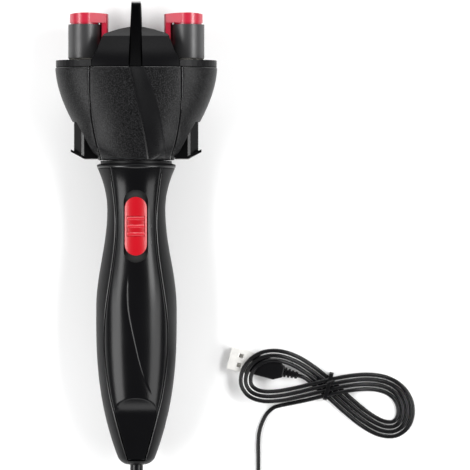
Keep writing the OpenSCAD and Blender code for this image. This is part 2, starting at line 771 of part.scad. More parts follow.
module barrel(side) color(grey_satin) lie_down() translate([side * barrel_x, 0, 0])
  difference() {
    union() {
      translate([0, 0, barrel_z + 0.8]) cylinder(h = barrel_h - 0.8, r = barrel_d / 2, $fn = 96);
      translate([0, 0, barrel_z]) cylinder(h = 0.8, r1 = barrel_d / 2 - 0.6, r2 = barrel_d / 2, $fn = 96);
    }
    translate([0, 0, barrel_z - 1]) cylinder(h = spindle_top - barrel_z + 1, r = spindle_r, $fn = 64);
    cylinder(h = room_top, r = spring_room_d / 2, $fn = 48);
    cylinder(h = tool_l, r = rod_d / 2 + run, $fn = 32);
    on_side(-side) translate([barrel_d / 2 - key_t, -key_w / 2, barrel_top - leg_l - 1])
      cube([key_t + 1, key_w, leg_l + 2]);
  }

module left_barrel() barrel(-1);
module right_barrel() barrel(1);

key_gap = 0.25;

cap_crown = 0.9;

// Front outline of a low arch over a barrel and the leg to its right, a little wider than both
function cap_front() = concat(
  [[-cap_d / 2 - 1, cap_z]],
  [for (i = [-6 : 6]) let (t = i / 6)
    [t * (t < 0 ? cap_d / 2 + 1 : leg_out_r + 1), cap_z + cap_t - cap_crown * t * t]],
  [[leg_out_r + 1, cap_z]]
);

// The disc over the barrel, drawn out to the leg
module cap_block() {
  translate([0, 0, cap_z]) cylinder(h = cap_t, r = cap_d / 2, $fn = 96);
  intersection() {
    translate([0, 0, cap_z]) linear_extrude(cap_t) polygon([
      [cap_d * 0.15, cap_d * 0.475], [leg_out_r, leg_w / 2 + 0.1],
      [leg_out_r, -leg_w / 2 - 0.1], [cap_d * 0.15, -cap_d * 0.475]
    ]);
    cylinder(h = tool_l, r = leg_out_r, $fn = 96);
  }
}

// A cap over the barrel, with a leg that hangs on its inner side and runs in the barrel's keyway
module hook(side) color(hook_red) lie_down() translate([side * barrel_x, 0, 0]) {
  difference() {
    union() {
      translate([0, 0, barrel_top + 0.1])
        cylinder(h = cap_z - barrel_top - 0.1 + eps, r = cap_d / 2 - 0.5, $fn = 96);
      on_side(-side) {
        intersection() {
          cap_block();
          front_prism(cap_front(), -far, far);
        }
        intersection() {
          translate([leg_in_r, -leg_w / 2, barrel_top - leg_l])
            cube([leg_t, leg_w, leg_l + cap_gap + 1]);
          difference() {
            cylinder(h = tool_l, r = leg_out_r, $fn = 96);
            cylinder(h = tool_l, r = leg_in_r, $fn = 96);
          }
        }
        translate([barrel_d / 2 - key_t + key_gap, -key_w / 2 + key_gap, barrel_top - leg_l])
          cube([key_t + leg_gap + 1, key_w - 2 * key_gap, leg_l + cap_gap + 1]);
      }
    }
    translate([0, 0, barrel_top - 1]) cylinder(h = 1 + cap_gap + cap_t / 2, r = rod_d / 2, $fn = 32);
  }
}

module left_hook() hook(-1);
module right_hook() hook(1);

rod_top = cap_z + cap_t / 2 - 0.2;
flange_z = gear_z + gear_t;
flange_h = 1.4;

module hook_rod(side) color(steel) lie_down() translate([side * barrel_x, 0, 0]) {
  translate([0, 0, rod_z]) cylinder(h = rod_top - rod_z, r = rod_d / 2, $fn = 32);
  translate([0, 0, flange_z]) cylinder(h = flange_h, r = spring_room_d / 2 - 0.3, $fn = 48);
}

module left_hook_rod() hook_rod(-1);
module right_hook_rod() hook_rod(1);

// Round wire along a path that never runs straight up
function unit(v) = v / norm(v);
function tube_rings(path, r, count) =
  let (last = len(path) - 1)
  [for (i = [0 : last])
    let (
      along = unit(path[min(last, i + 1)] - path[max(0, i - 1)]),
      side = unit(cross(along, [0, 0, 1])),
      up = cross(side, along)
    )
    [for (j = [0 : count - 1])
      let (a = 360 * j / count)
      path[i] + r * (cos(a) * side - sin(a) * up)]];

coil_rings = 8;

module hook_spring(side) color(steel) lie_down() translate([side * barrel_x, 0, 0]) {
  low = flange_z + flange_h + wire_d / 2 + 0.05;
  high = room_top - wire_d / 2 - 0.05;
  coil_r = (rod_d / 2 + spring_room_d / 2) / 2;
  steps = coils * coil_rings;
  loft(tube_rings([for (i = [0 : steps])
    let (a = 360 * i / coil_rings)
    [coil_r * cos(a), coil_r * sin(a), mix(low, high, i / steps)]], wire_d / 2, 6));
}

module left_hook_spring() hook_spring(-1);
module right_hook_spring() hook_spring(1);

// Outline of a lever from above, grown by shift
function lever_outline(shift) = [
  [lever_in_x - shift, -lever_d / 2 - shift], [lever_x - 5, -lever_d / 2 - shift],
  [lever_x + shift, -lever_face_d / 2 - shift / 2], [lever_x + shift, lever_face_d / 2 + shift / 2],
  [lever_x - 5, lever_d / 2 + shift], [lever_in_x - shift, lever_d / 2 + shift]
];
lip_rise = 3.8;
lip_bend = 28;

module lever(side) color(black_satin) lie_down() on_side(side) {
  low = head_z + 0.6;
  difference() {
    translate([0, 0, low + lip_t - eps]) linear_extrude(lever_top - low - lip_t + eps)
      polygon(lever_outline(0));
    // The post is hollow behind its outer wall, as a moulded lever is.
    translate([0, 0, low + 6]) linear_extrude(lever_top - low - 6 - 3) polygon([
      [lever_in_x - 1, -lever_d / 2 + 2], [lever_x - 6, -lever_d / 2 + 2],
      [lever_x - 2, -lever_face_d / 2 + 1], [lever_x - 2, lever_face_d / 2 - 1],
      [lever_x - 6, lever_d / 2 - 2], [lever_in_x - 1, lever_d / 2 - 2]
    ]);
    // Its foot ends on the lip's slope.
    front_prism([
      [lip_bend, low - 1], [lip_bend, low + lip_t / 2],
      [lever_x + lip_out, low + lip_rise + lip_t / 2], [lever_x + lip_out, low - 1]
    ], -far, far);
  }
  intersection() {
    translate([0, 0, low]) linear_extrude(far) polygon([
      [lever_in_x, -lever_d / 2], [lever_x - 5, -lever_d / 2], [lever_x + lip_out, -lever_face_d / 2 - 1],
      [lever_x + lip_out, lever_face_d / 2 + 1], [lever_x - 5, lever_d / 2], [lever_in_x, lever_d / 2]
    ]);
    front_prism([
      [lever_in_x, low], [lip_bend, low], [lever_x + lip_out, low + lip_rise],
      [lever_x + lip_out, low + lip_rise + lip_t], [lip_bend, low + lip_t], [lever_in_x, low + lip_t]
    ], -far, far);
  }
}

module left_lever() lever(-1);
module right_lever() lever(1);

// ---------- Head shells ----------

ledge_s = ledge_h / head_h;
// The covers bulge a little below their ledge, so that their slanting foot cuts through them.
function head_bulge(s) = s > ledge_s ? 0 : 33 * s / ledge_s * pow(1 - s / ledge_s, 2);
function head_w_at(s) = mix(neck_r, head_w / 2, 1 - pow(1 - s, 1.72)) + head_bulge(s);
function head_d_at(s) = mix(neck_r, rest_h, 1 - pow(1 - s, 2.2));
function head_n_at(s) = 2 + 0.5 * s;
head_steps = [0, 0.04, 0.1, 0.18, 0.28, 0.4, 0.55, 0.7, 0.85, 1];

// Half width of the front and rear panels at the height share s
function face_at(s) = mix(face_foot_w, face_w + 0.8, 1 - pow(1 - s, 2.6)) / 2 - 0.4 * pow(s, 4);
function head_wall(s) = min(wall, (head_w_at(s) - face_at(s)) * 0.6);

// Left and right edges of the swept facet at the height share s
function swoosh_left(s) = mix(6.1, -3.8, pow(s, 1.5)) - 0.6 * sin(180 * s);
function swoosh_right(s) = mix(15.9, 4.6, pow(s, 1.9));
function swoosh_y(x, s) =
  let (t = (x - swoosh_left(s)) / (swoosh_right(s) - swoosh_left(s)))
  t <= 0 || t >= 1 ? 0 : swoosh_t * sin(180 * t);

function head_front(x, s, inset) =
  depth_at(x, head_w_at(s) - inset, head_d_at(s) - inset, head_n_at(s));

// Columns across the front panel: up to the swept facet, across it, and on to the other seam
function face_cols(s) =
  let (e = face_at(s) - seam / 2, l = swoosh_left(s), r = swoosh_right(s))
  concat([for (k = [0 : 4]) mix(-e, l, k / 5)], [for (k = [0 : 4]) mix(l, r, k / 4)], [mix(r, e, 0.5), e]);

module front_face() {
  function row(s, inner) = [for (x = face_cols(s))
    [x, inner ? -head_front(x, s, head_wall(s)) : -head_front(x, s, 0) + swoosh_y(x, s), head_z + head_h * s]];
  shell_grid([for (s = head_steps) row(s, false)], [for (s = head_steps) row(s, true)]);
}

module rear_face() {
  function row(s, inner) = [for (j = [5 : -1 : -5])
    let (x = (face_at(s) - seam / 2) * j / 5)
    [x, head_front(x, s, inner ? head_wall(s) : 0), head_z + head_h * s]];
  shell_grid([for (s = head_steps) row(s, false)], [for (s = head_steps) row(s, true)]);
}

// Where a boss of radius r on x may end, so that it stays inside the wall
function boss_end(spot, r) =
  let (s = (spot[1] - head_z) / head_h, x = abs(spot[0]))
  (head_front(x + r, s, 0) + head_front(x - r, s, wall)) / 2;

head_boss_r = boss_d / 2;
rear_head_boss_r = screw_head_d / 2 + 1;
head_seat_y = 12;
head_screw_l = 24;

module head_front_panel() color(black_satin) lie_down()
  difference() {
    union() {
      front_face();
      for (spot = head_screw_spots) translate([spot[0], 0, spot[1]])
        rod_y(head_boss_r, -boss_end(spot, head_boss_r), -seam / 2);
    }
    for (spot = head_screw_spots) translate([spot[0], 0, spot[1]])
      rod_y(screw_d / 2 + thread_gap, -14, far);
  }

module head_rear_panel() color(black_satin) lie_down()
  difference() {
    union() {
      rear_face();
      for (spot = head_screw_spots) translate([spot[0], 0, spot[1]])
        rod_y(rear_head_boss_r, seam / 2, boss_end(spot, rear_head_boss_r));
    }
    for (spot = head_screw_spots) translate([spot[0], 0, spot[1]]) {
      rod_y(screw_d / 2 + 0.2, -1, far);
      rod_y(screw_head_d / 2 + 0.3, head_seat_y, far);
    }
  }

module head_screws() color(steel) lie_down()
  for (spot = head_screw_spots) translate([spot[0], 0, spot[1]]) screw(head_seat_y, head_screw_l);

slant = (ledge_h - 0.3) / (ledge_x - foot_x);

cover_cols = 16;
module cover_shell() {
  function row(s, inset) =
    let (
      x = face_at(s) + seam / 2, w = head_w_at(s) - inset, h = head_d_at(s) - inset,
      n = head_n_at(s), a0 = ring_angle(x, w, n)
    )
    [for (j = [0 : cover_cols])
      ring_point(mix(a0, 180 - a0, j / cover_cols), w, h, 0, n, head_z + head_h * s)];
  shell_grid([for (s = head_steps) row(s, 0)], [for (s = head_steps) row(s, head_wall(s))]);
}

module side_cover(side) color(black_satin) lie_down() on_side(side)
  difference() {
    cover_shell();
    front_prism([
      [foot_x - 1.9, ledge_z - slant * (ledge_x - foot_x + 1.9)], [far, head_z - 4],
      [far, ledge_z], [ledge_x, ledge_z]
    ], -far, far);
    translate([0, 0, head_z - 1]) linear_extrude(plate_z - head_z + 1.5) polygon(lever_outline(lever_gap));
  }

module left_side_cover() side_cover(-1);
module right_side_cover() side_cover(1);

// Plan of the deck, drawn in by shift
module deck_shape(shift)
  polygon([for (p = ring(head_w / 2 - shift, rest_h - shift, 0, head_n_at(1), 0, 64)) [p[0], p[1]]]);

dome_gap = 0.3;
dome_seat_y = 18;

module deck_plate() color(black_satin) lie_down()
  difference() {
    union() {
      translate([0, 0, deck_z]) linear_extrude(deck_t) difference() {
        deck_shape(0.3);
        for (y = [-1, 1]) translate([-dome_w / 2 - dome_gap, y > 0 ? dome_seat_y : -far])
          square([dome_w + 2 * dome_gap, far - dome_seat_y]);
      }
      translate([0, 0, sun_hub_top + 0.4])
        cylinder(h = deck_z - sun_hub_top - 0.4 + eps, r = shaft_r + 2.4, $fn = 48);
    }
    both_sides() translate([barrel_x, 0, 0]) cylinder(h = tool_l, r = bush_out_r, $fn = 64);
    cylinder(h = shaft_top + 0.4, r = shaft_r + run, $fn = 48);
  }

chassis_gap = 0.4;
hub_z = handle_l - 8.8;

module plate_shape() {
  s = (plate_z - head_z) / head_h;
  inset = wall + chassis_gap;
  polygon([for (p = ring(head_w_at(s) - inset, head_d_at(s) - inset, 0, head_n_at(s), 0, 48)) [p[0], p[1]]]);
}

module head_chassis() color([0.24, 0.24, 0.26]) lie_down()
  difference() {
    union() {
      translate([0, 0, hub_z]) cylinder(h = plate_z - hub_z + eps, r = hub_d / 2, $fn = 96);
      translate([0, 0, head_z]) cylinder(h = 2.6, r = neck_r - wall - chassis_gap, $fn = 96);
      translate([0, 0, plate_z]) linear_extrude(plate_t) plate_shape();
      for (y = [-1, 1]) translate([-lever_in_x + 1, y * (lever_d / 2 - 3) - 1, head_z + 2])
        cube([2 * lever_in_x - 2, 2, plate_z - head_z - 1.9]);
    }
    translate([0, 0, handle_l - 20]) cylinder(h = plate_z - handle_l + 20, r = clutch_r, $fn = 64);
    cylinder(h = tool_l, r = shaft_r + 0.5, $fn = 48);
    both_sides() translate([barrel_x, 0, 0]) cylinder(h = tool_l, r = spindle_r + run, $fn = 64);
    difference() {
      translate([0, 0, ring_z - 0.05]) cylinder(h = ring_t + 0.1, r = far, $fn = 64);
      cylinder(h = tool_l, r = ring_in_r, $fn = 64);
    }
    for (spot = head_screw_spots) translate([spot[0], 0, spot[1]])
      rod_y(rear_head_boss_r + 0.6, -far, far);
  }

// ---------- Dome and fin ----------

shoulder_z = dome_h * 0.76;
function dome_front() =
  let (half = [
    [dome_w / 2, 0], [dome_w / 2, deck_t], [mix(dome_w, dome_top_w, 0.5) / 2, dome_h * 0.4],
    [dome_top_w / 2, shoulder_z], [dome_top_w / 2 - 0.8, shoulder_z + 1.1],
    [dome_top_w / 2 - 3.2, shoulder_z + 2], [dome_top_w * 0.27, dome_h * 0.93],
    [dome_top_w * 0.12, dome_h * 0.985]
  ])
  concat(half, [[0, dome_h]], [for (i = [len(half) - 1 : -1 : 0]) [-half[i][0], half[i][1]]]);

// The dome's front and rear faces lean in on a quarter of an ellipse up to the shoulders.
function dome_side() =
  let (half = concat(
    [for (i = [0 : 6]) [mix(rest_h - 0.3, dome_top_d / 2, 1 - cos(15 * i)), shoulder_z * i / 6]],
    [[dome_top_d / 2 - 2, dome_h * 0.9], [dome_top_d / 2 - 5, dome_h]]
  ))
  concat(half, [for (i = [len(half) - 1 : -1 : 0]) [-half[i][0], half[i][1]]]);

function lift_points(points, z) = [for (p = points) [p[0], p[1] + z]];

module dome() color(black_satin) lie_down()
  difference() {
    intersection() {
      front_prism(lift_points(dome_front(), deck_z), -far, far);
      side_prism(lift_points(dome_side(), deck_z), -far, far);
      translate([0, 0, deck_z]) linear_extrude(far) deck_shape(0.3);
    }
    translate([-far, -dome_seat_y - seam, deck_z - 1]) cube([2 * far, 2 * (dome_seat_y + seam), deck_t + 1 + eps]);
    both_sides() translate([barrel_x, 0, deck_z - 1]) cylinder(h = far, r = pocket_r, $fn = 96);
    front_prism(fin_front(0.02), -far, far);
  }

fin_seat_z = deck_top + 4;

// Front outline of the fin, grown by gap
function fin_front(gap) = [
  [fin_t / 2 + gap, deck_z - 1], [fin_t / 2 + gap, deck_top], [fin_tip_t / 2 + gap, tool_l],
  [-fin_tip_t / 2 - gap, tool_l], [-fin_t / 2 - gap, deck_top], [-fin_t / 2 - gap, deck_z - 1]
];

// Side outline of the fin, over the height share s
fin_rows = [for (i = [0 : 10]) i / 10];
function fin_depth(s) = s > 0.9 ?
  fin_tip_d / 2 - 3.5 + 3.5 * sqrt(max(0, 1 - pow((s - 0.9) / 0.1, 2))) :
  mix(fin_tip_d / 2, rest_h - 0.2, pow(1 - s / 0.9, 1.5));
function fin_side() = concat(
  [for (s = fin_rows) [fin_depth(s), deck_z + fin_h * s]],
  [for (i = [10 : -1 : 0]) [-fin_depth(fin_rows[i]), deck_z + fin_h * fin_rows[i]]]
);

module divider_fin() color(black_gloss) lie_down()
  difference() {
    intersection() {
      front_prism(fin_front(0), -far, far);
      side_prism(fin_side(), -far, far);
    }
    translate([-far, -dome_seat_y - seam, deck_z - 1]) cube([2 * far, 2 * (dome_seat_y + seam), deck_t + 1 + eps]);
  }

// ---------- Cord ----------

relief_y = handle_c_at(0);
root_l = 4;

// The strain relief's root inside the tail, grown by gap
module relief_socket(gap) translate([0, relief_y, 0]) {
  translate([0, 0, -1]) cylinder(h = 3, r = relief_d / 2 + gap, $fn = 48);
  translate([0, 0, 2 - gap]) cylinder(h = root_l + 2 * gap, r = relief_d / 2 + 1 + gap, $fn = 48);
  translate([0, 0, 2]) cylinder(h = tail_solid, r = cord_d / 2 + gap, $fn = 32);
}

module strain_relief() color(black_satin) lie_down() translate([0, relief_y, 0])
  difference() {
    union() {
      translate([0, 0, 2]) cylinder(h = root_l, r = relief_d / 2 + 1, $fn = 48);
      translate([0, 0, -hang_x]) cylinder(h = hang_x + 2 + eps, r = relief_d / 2, $fn = 48);
      translate([0, 0, -relief_l]) cylinder(h = relief_l - hang_x + eps, r1 = cord_d / 2 + 0.7,
        r2 = relief_d / 2, $fn = 48);
    }
    translate([0, 0, -hang_x]) rod_y(hang_d / 2, -far, far);
  }

// The hank is a figure of eight in its own frame, on the surface beside the tool.
hank_x = 104;
hank_y = -83;
hank_turn = -14.6;
hank_a = 44.7;
hank_b = 23;
hank_bend = 5.5;
strand = cord_d + strand_gap;
floor_z = cord_d / 2 + 0.05;
under_z = floor_z + tie_t + 0.15;
over_z = under_z + strand;
plug_over_z = plug_t + cord_d / 2 + 0.15;
loop_rings = 24;

function smooth(t) = let (u = min(1, max(0, t))) u * u * (3 - 2 * u);
function eight(t) =
  [hank_a * sin(t), hank_b * sin(t) * cos(t) - hank_bend * pow(sin(t), 2)];
function eight_side(t) =
  let (d = unit([hank_a * cos(t), hank_b * cos(2 * t) - hank_bend * sin(2 * t)])) [-d[1], d[0]];

// Height of a strand: low in the right lobe, raised over the plug at the left lobe's end,
// and at the waist under the strands that come back
function strand_z(t) =
  t < 0 ? mix(over_z, floor_z, smooth(-t / 30)) :
  let (a = t % 360)
  a < 12 ? over_z :
  a < 40 ? mix(over_z, floor_z, smooth((a - 12) / 28)) :
  a < 140 ? floor_z :
  a < 168 ? mix(floor_z, under_z, smooth((a - 140) / 28)) :
  a < 192 ? under_z :
  a < 218 ? mix(under_z, plug_over_z, smooth((a - 192) / 26)) :
  a < 308 ? plug_over_z :
  a < 348 ? mix(plug_over_z, over_z, smooth((a - 308) / 40)) : over_z;

function strand_at(t) =
  let (p = eight(t) + strand * (t / 360 - turns / 2 + 0.25) * eight_side(t))
  [p[0], p[1], strand_z(t)];
function in_place(p) =
  [hank_x + p[0] * cos(hank_turn) - p[1] * sin(hank_turn),
    hank_y + p[0] * sin(hank_turn) + p[1] * cos(hank_turn), p[2]];

plug_x = -17.5;
plug_y = 1.4;
hank_start = -30;
hank_end = 360 * (turns - 1) + 190;
hank_steps = ceil((hank_end - hank_start) * loop_rings / 360);
hank_path = concat(
  [for (i = [0 : hank_steps]) strand_at(mix(hank_start, hank_end, i / hank_steps))],
  [[plug_x + 4.6, plug_y - 0.5, 2.8], [plug_x + cord_d, plug_y, plug_t / 2], [plug_x, plug_y, plug_t / 2]]
);
hank_back = unit([for (k = [0 : 1]) hank_path[0][k] - hank_path[1][k]]);
hank_first = [for (k = [0 : 2]) hank_path[0][k] + (k < 2 ? cord_d * hank_back[k] : 0)];
echo(least_gap_in_hank = min([for (i = [0 : len(hank_path) - 1], j = [0 : len(hank_path) - 1])
  if (j > i + 4) norm(hank_path[i] - hank_path[j])]) - cord_d);
echo(hank_starts_at = in_place(hank_first), then = in_place(hank_path[0]));

module cord_hank() color(black_satin)
  loft(tube_rings([for (p = concat([hank_first], hank_path)) in_place(p)], cord_d / 2, 6));

// The lead leaves the strain relief, falls to the surface and turns back to the hank.
lead_exit = [0, -tool_l / 2 - relief_l, rest_h - relief_y];
lead_path = concat(
  [lead_exit, lead_exit + [0, -3, 0], lead_exit + [0, -10, -0.8]],
  [
    [1, -170, 14.5], [4, -180, 9], [9, -190, 4], [16, -199, 1.6], [25, -206, floor_z],
    [36, -210, floor_z], [47, -209, floor_z], [56, -203, floor_z], [62, -194, floor_z],
    [65, -184, floor_z], [66, -173, floor_z], [66, -162, floor_z], [66, -151, floor_z],
    [66, -140, floor_z], [66, -130, floor_z], [66, -121, floor_z], [66, -113, floor_z],
    [67, -106, floor_z], [70, -99, floor_z], [74, -95, floor_z]
  ],
  [in_place(hank_first)]
);

module cord_lead() color(black_satin) loft(tube_rings(lead_path, cord_d / 2, 8));

module at_hank() translate([hank_x, hank_y, 0]) rotate(hank_turn) children();

tie_w = 2.2;
tie_room = (turns / 2 - 0.25) * strand + cord_d / 2 + 1.4;

module cord_tie() color([0.1, 0.1, 0.1]) at_hank() {
  top = over_z + cord_d / 2 + 0.1;
  translate([-tie_w / 2, 0, 0]) rotate([90, 0, 90]) linear_extrude(tie_w) difference() {
    translate([-tie_room - tie_t, 0.05]) square([2 * (tie_room + tie_t), top + tie_t]);
    translate([-tie_room, 0.05 + tie_t]) square([2 * tie_room, top - tie_t]);
  }
  // The twisted ends of the tie stand up as a small loop.
  translate([0, 2.5, top + tie_t + 1.9]) rotate([90, 0, 35]) rotate_extrude($fn = 40)
    translate([1.9, 0]) circle(r = 0.45, $fn = 16);
}

shell_l = 12.5;
ribs = 4;
rib_l = 8;

module plug_body() color(black_satin) at_hank() translate([plug_x, plug_y, plug_t / 2]) {
  w = plug_w / 2;
  translate([0, 0, -plug_t / 2]) linear_extrude(plug_t) polygon([
    [-rib_l + 0.2, -3], [-rib_l + 0.2, 3], [-rib_l - 4.5, w], [-rib_l - plug_l + 1.2, w],
    [-rib_l - plug_l, w - 1.2], [-rib_l - plug_l, 1.2 - w], [-rib_l - plug_l + 1.2, -w],
    [-rib_l - 4.5, -w]
  ]);
  rotate([0, -90, 0]) {
    cylinder(h = rib_l, r = cord_d / 2 + 0.5, $fn = 40);
    for (i = [0 : ribs - 1]) translate([0, 0, 0.3 + i * rib_l / ribs])
      cylinder(h = rib_l / ribs - 0.7, r = 2 + 0.25 * i, $fn = 40);
  }
}

module plug_shell() color(steel) at_hank() translate([plug_x - rib_l - plug_l, plug_y, plug_t / 2])
  difference() {
    translate([-shell_l, -usb_w / 2, -usb_t / 2]) cube([shell_l, usb_w, usb_t]);
    translate([-shell_l - 1, -usb_w / 2 + 0.4, -usb_t / 2 + 0.4]) cube([shell_l - 1, usb_w - 0.8, usb_t - 2.3]);
    for (y = [-2.6, 2.6]) translate([-shell_l + 5, y - 1.1, 0]) cube([2.2, 2.2, far]);
  }

handle_rear_shell();
handle_front_panel();
neck_collar();
neck_bush();
switch_tray();
switch_slider();
switch_knob();
slide_switch();
control_board();
motor();
motor_end_cap();
gearbox();
handle_screws();
head_chassis();
head_front_panel();
head_rear_panel();
left_side_cover();
right_side_cover();
head_screws();
deck_plate();
dome();
divider_fin();
left_spindle_bush();
right_spindle_bush();
one_way_clutch();
retaining_ring();
drive_shaft();
sun_gear();
left_spindle();
right_spindle();
left_barrel();
right_barrel();
left_hook();
right_hook();
left_hook_rod();
right_hook_rod();
left_hook_spring();
right_hook_spring();
left_lever();
right_lever();
strain_relief();
cord_lead();
cord_hank();
cord_tie();
plug_body();
plug_shell();
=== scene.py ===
"""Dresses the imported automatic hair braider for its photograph-like view.

The forms are the ones that the part's source uses, drawn finer. Points are worked out standing,
in millimetres: x to the right, y to the back, z up from the tail to the fin. lie() lays them down.
"""

import json
from math import asin, ceil, copysign, cos, exp, hypot, pi, radians, sin, sqrt

import bmesh
import bpy
from mathutils import Matrix, Vector


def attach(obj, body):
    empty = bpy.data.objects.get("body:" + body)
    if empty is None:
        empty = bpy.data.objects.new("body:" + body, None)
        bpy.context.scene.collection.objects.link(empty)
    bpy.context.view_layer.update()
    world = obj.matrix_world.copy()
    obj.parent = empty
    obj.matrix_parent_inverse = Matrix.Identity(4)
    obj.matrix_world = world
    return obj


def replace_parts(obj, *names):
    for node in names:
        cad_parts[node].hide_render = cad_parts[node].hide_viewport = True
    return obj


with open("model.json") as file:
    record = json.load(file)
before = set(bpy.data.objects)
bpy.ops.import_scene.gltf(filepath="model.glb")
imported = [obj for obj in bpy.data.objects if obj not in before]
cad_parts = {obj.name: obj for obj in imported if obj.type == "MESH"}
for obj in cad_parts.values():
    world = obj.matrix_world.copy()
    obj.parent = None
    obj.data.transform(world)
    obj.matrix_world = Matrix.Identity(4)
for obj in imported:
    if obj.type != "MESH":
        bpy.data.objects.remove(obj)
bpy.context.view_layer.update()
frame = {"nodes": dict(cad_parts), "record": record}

MM = 0.001

# ---------------------------------------------------------------- sizes, in mm, as in the part
HANDLE_L = 160.0
BELLY_W, BELLY_D = 43.6, 43.0
WAIST_W, WAIST_D = 31.4, 32.1
TAIL_W, TAIL_D, TAIL_SET, TAIL_R = 17.0, 19.0, 7.5, 4.2
WALL, SEAM = 2.2, 0.3
PANEL_W, PANEL_WAIST_W, PANEL_TOP_W, PANEL_TAIL_W = 34.2, 21.6, 28.0, 7.2
SCOOP_L, SCOOP_END, SCOOP_SLOPE = 36.5, 0.8, 0.248
TOP_D = 41.6
COLLAR_H, NECK_GAP = 4.2, 0.4
NECK_R = 20.5
REST_H = 26.0
HEAD_W, HEAD_H = 87.4, 49.9
FACE_W, FACE_FOOT_W = 49.2, 37.2
LEDGE_H, LEDGE_X, FOOT_X = 20.6, 32.1, 21.2
SWOOSH_T = 1.1
DECK_T = 3.5
DOME_W, DOME_TOP_W, DOME_H, DOME_TOP_D = 47.2, 35.8, 21.6, 33.0
FIN_H, FIN_T, FIN_TIP_T, FIN_TIP_D = 35.2, 7.4, 5.0, 24.0
PITCH = 55.6
LEVER_X, LEVER_IN_X, LEVER_D, LEVER_FACE_D = 33.5, 20.8, 23.0, 11.0
CORD_D = 2.2
RELIEF_L, RELIEF_D = 25.0, 7.0
HANG_D, HANG_X = 2.6, 4.6

HEAD_Z = HANDLE_L + COLLAR_H + NECK_GAP
DECK_Z = HEAD_Z + HEAD_H + SEAM
DECK_TOP = DECK_Z + DECK_T
TOOL_L = DECK_Z + FIN_H
LEDGE_Z = HEAD_Z + LEDGE_H
PLATE_Z = LEDGE_Z + 10.6
SWITCH_Z = HANDLE_L - 31.1
SLOT_W, SLOT_L = 13.2, 39.4
# How far cutting tools reach: past the whole tool, or past the handle only
FAR, REACH = 80.0, 40.0


def lie(x, y, z):
    """A standing point in mm, as a point of the lying tool in metres."""
    return Vector((x, z - TOOL_L / 2, REST_H - y)) * MM


# ---------------------------------------------------------------- camera
# The photograph looks straight down on the lying tool through a long lens.
PHOTO_PX = 470
MM_PER_PX = 0.54
AXIS_PX, TAIL_PX = 136.3, 465.0
CAMERA_H = 3.0
view_w = PHOTO_PX * MM_PER_PX
view_x = (PHOTO_PX / 2 - AXIS_PX) * MM_PER_PX
view_y = (TAIL_PX - PHOTO_PX / 2) * MM_PER_PX - TOOL_L / 2

camera_data = bpy.data.cameras.new("camera")
camera_data.sensor_width = 36.0
camera_data.lens = camera_data.sensor_width * (CAMERA_H - REST_H * MM) / (view_w * MM)
camera_data.clip_end = 20.0
camera = bpy.data.objects.new("camera", camera_data)
camera.location = (view_x * MM, view_y * MM, CAMERA_H)
bpy.context.scene.collection.objects.link(camera)
bpy.context.scene.camera = camera


# ---------------------------------------------------------------- materials
class Socket:
    """A node output that can be added, multiplied and so on with numbers and other outputs."""

    def __init__(self, tree, out):
        self.tree, self.out = tree, out

    def _math(self, operation, a, b):
        node = self.tree.nodes.new("ShaderNodeMath")
        node.operation = operation
        for socket, value in zip(node.inputs, (a, b)):
            if isinstance(value, Socket):
                self.tree.links.new(value.out, socket)
            else:
                socket.default_value = value
        return Socket(self.tree, node.outputs[0])

    def __add__(self, other):
        return self._math("ADD", self, other)

    def __sub__(self, other):
        return self._math("SUBTRACT", self, other)

    def __rsub__(self, other):
        return self._math("SUBTRACT", other, self)

    def __mul__(self, other):
        return self._math("MULTIPLY", self, other)

    __radd__ = __add__
    __rmul__ = __mul__


class Material:
    """A principled material that rides on the object's own coordinates, in metres."""

    def __init__(self, name, **constants):
        self.material = bpy.data.materials.new(name)
        self.material.use_nodes = True
        self.tree = self.material.node_tree
        self.shader = self.tree.nodes["Principled BSDF"]
        for key, value in constants.items():
            self.shader.inputs[key.replace("_", " ")].default_value = value
        self.place = self.node("ShaderNodeTexCoord", output="Object")

    def node(self, kind, output=0, settings=(), **inputs):
        made = self.tree.nodes.new(kind)
        for key, value in dict(settings).items():
            setattr(made, key, value)
        for key, value in inputs.items():
            socket = made.inputs[key.replace("_", " ")]
            if isinstance(value, Socket):
                self.tree.links.new(value.out, socket)
            else:
                socket.default_value = value
        return Socket(self.tree, made.outputs[output])

    def noise(self, scale, detail=2.0, roughness=0.5):
        return self.node(
            "ShaderNodeTexNoise", Vector=self.place, Scale=scale, Detail=detail, Roughness=roughness
        )

    def ramp(self, value, stops):
        """Colour from a value, through (position, colour) stops."""
        made = self.tree.nodes.new("ShaderNodeValToRGB")
        self.tree.links.new(value.out, made.inputs[0])
        elements = made.color_ramp.elements
        while len(elements) < len(stops):
            elements.new(0.5)
        for element, (position, colour) in zip(elements, stops):
            element.position = position
            element.color = (*colour, 1.0)
        return Socket(self.tree, made.outputs[0])

    def tone(self, value, *stops):
        self.drive("Base Color", self.ramp(value, stops))

    def drive(self, key, value):
        self.tree.links.new(value.out, self.shader.inputs[key])

    def bump(self, height, distance, strength=1.0):
        bump = self.node("ShaderNodeBump", Height=height, Distance=distance, Strength=strength)
        self.drive("Normal", bump)


def shade_of(colour, factor):
    return tuple(min(1.0, c * factor) for c in colour)


def plastic(
    name, colour, rough, grain, depth, spread=0.12, rough_spread=0.06, shine=0.5, **constants
):
    """Moulded plastic: a fine grain, faint tone changes and handling smears in the gloss."""
    m = Material(name, Specular_IOR_Level=shine, **constants)
    dark, light = shade_of(colour, 1 - spread), shade_of(colour, 1 + spread)
    m.tone(m.noise(38.0, 3.0), (0.3, dark), (0.7, light))
    smear = m.noise(70.0, 4.0, 0.6)
    m.drive("Roughness", smear * (2 * rough_spread) + (rough - rough_spread))
    m.bump(m.noise(grain, 2.0), depth)
    return m.material


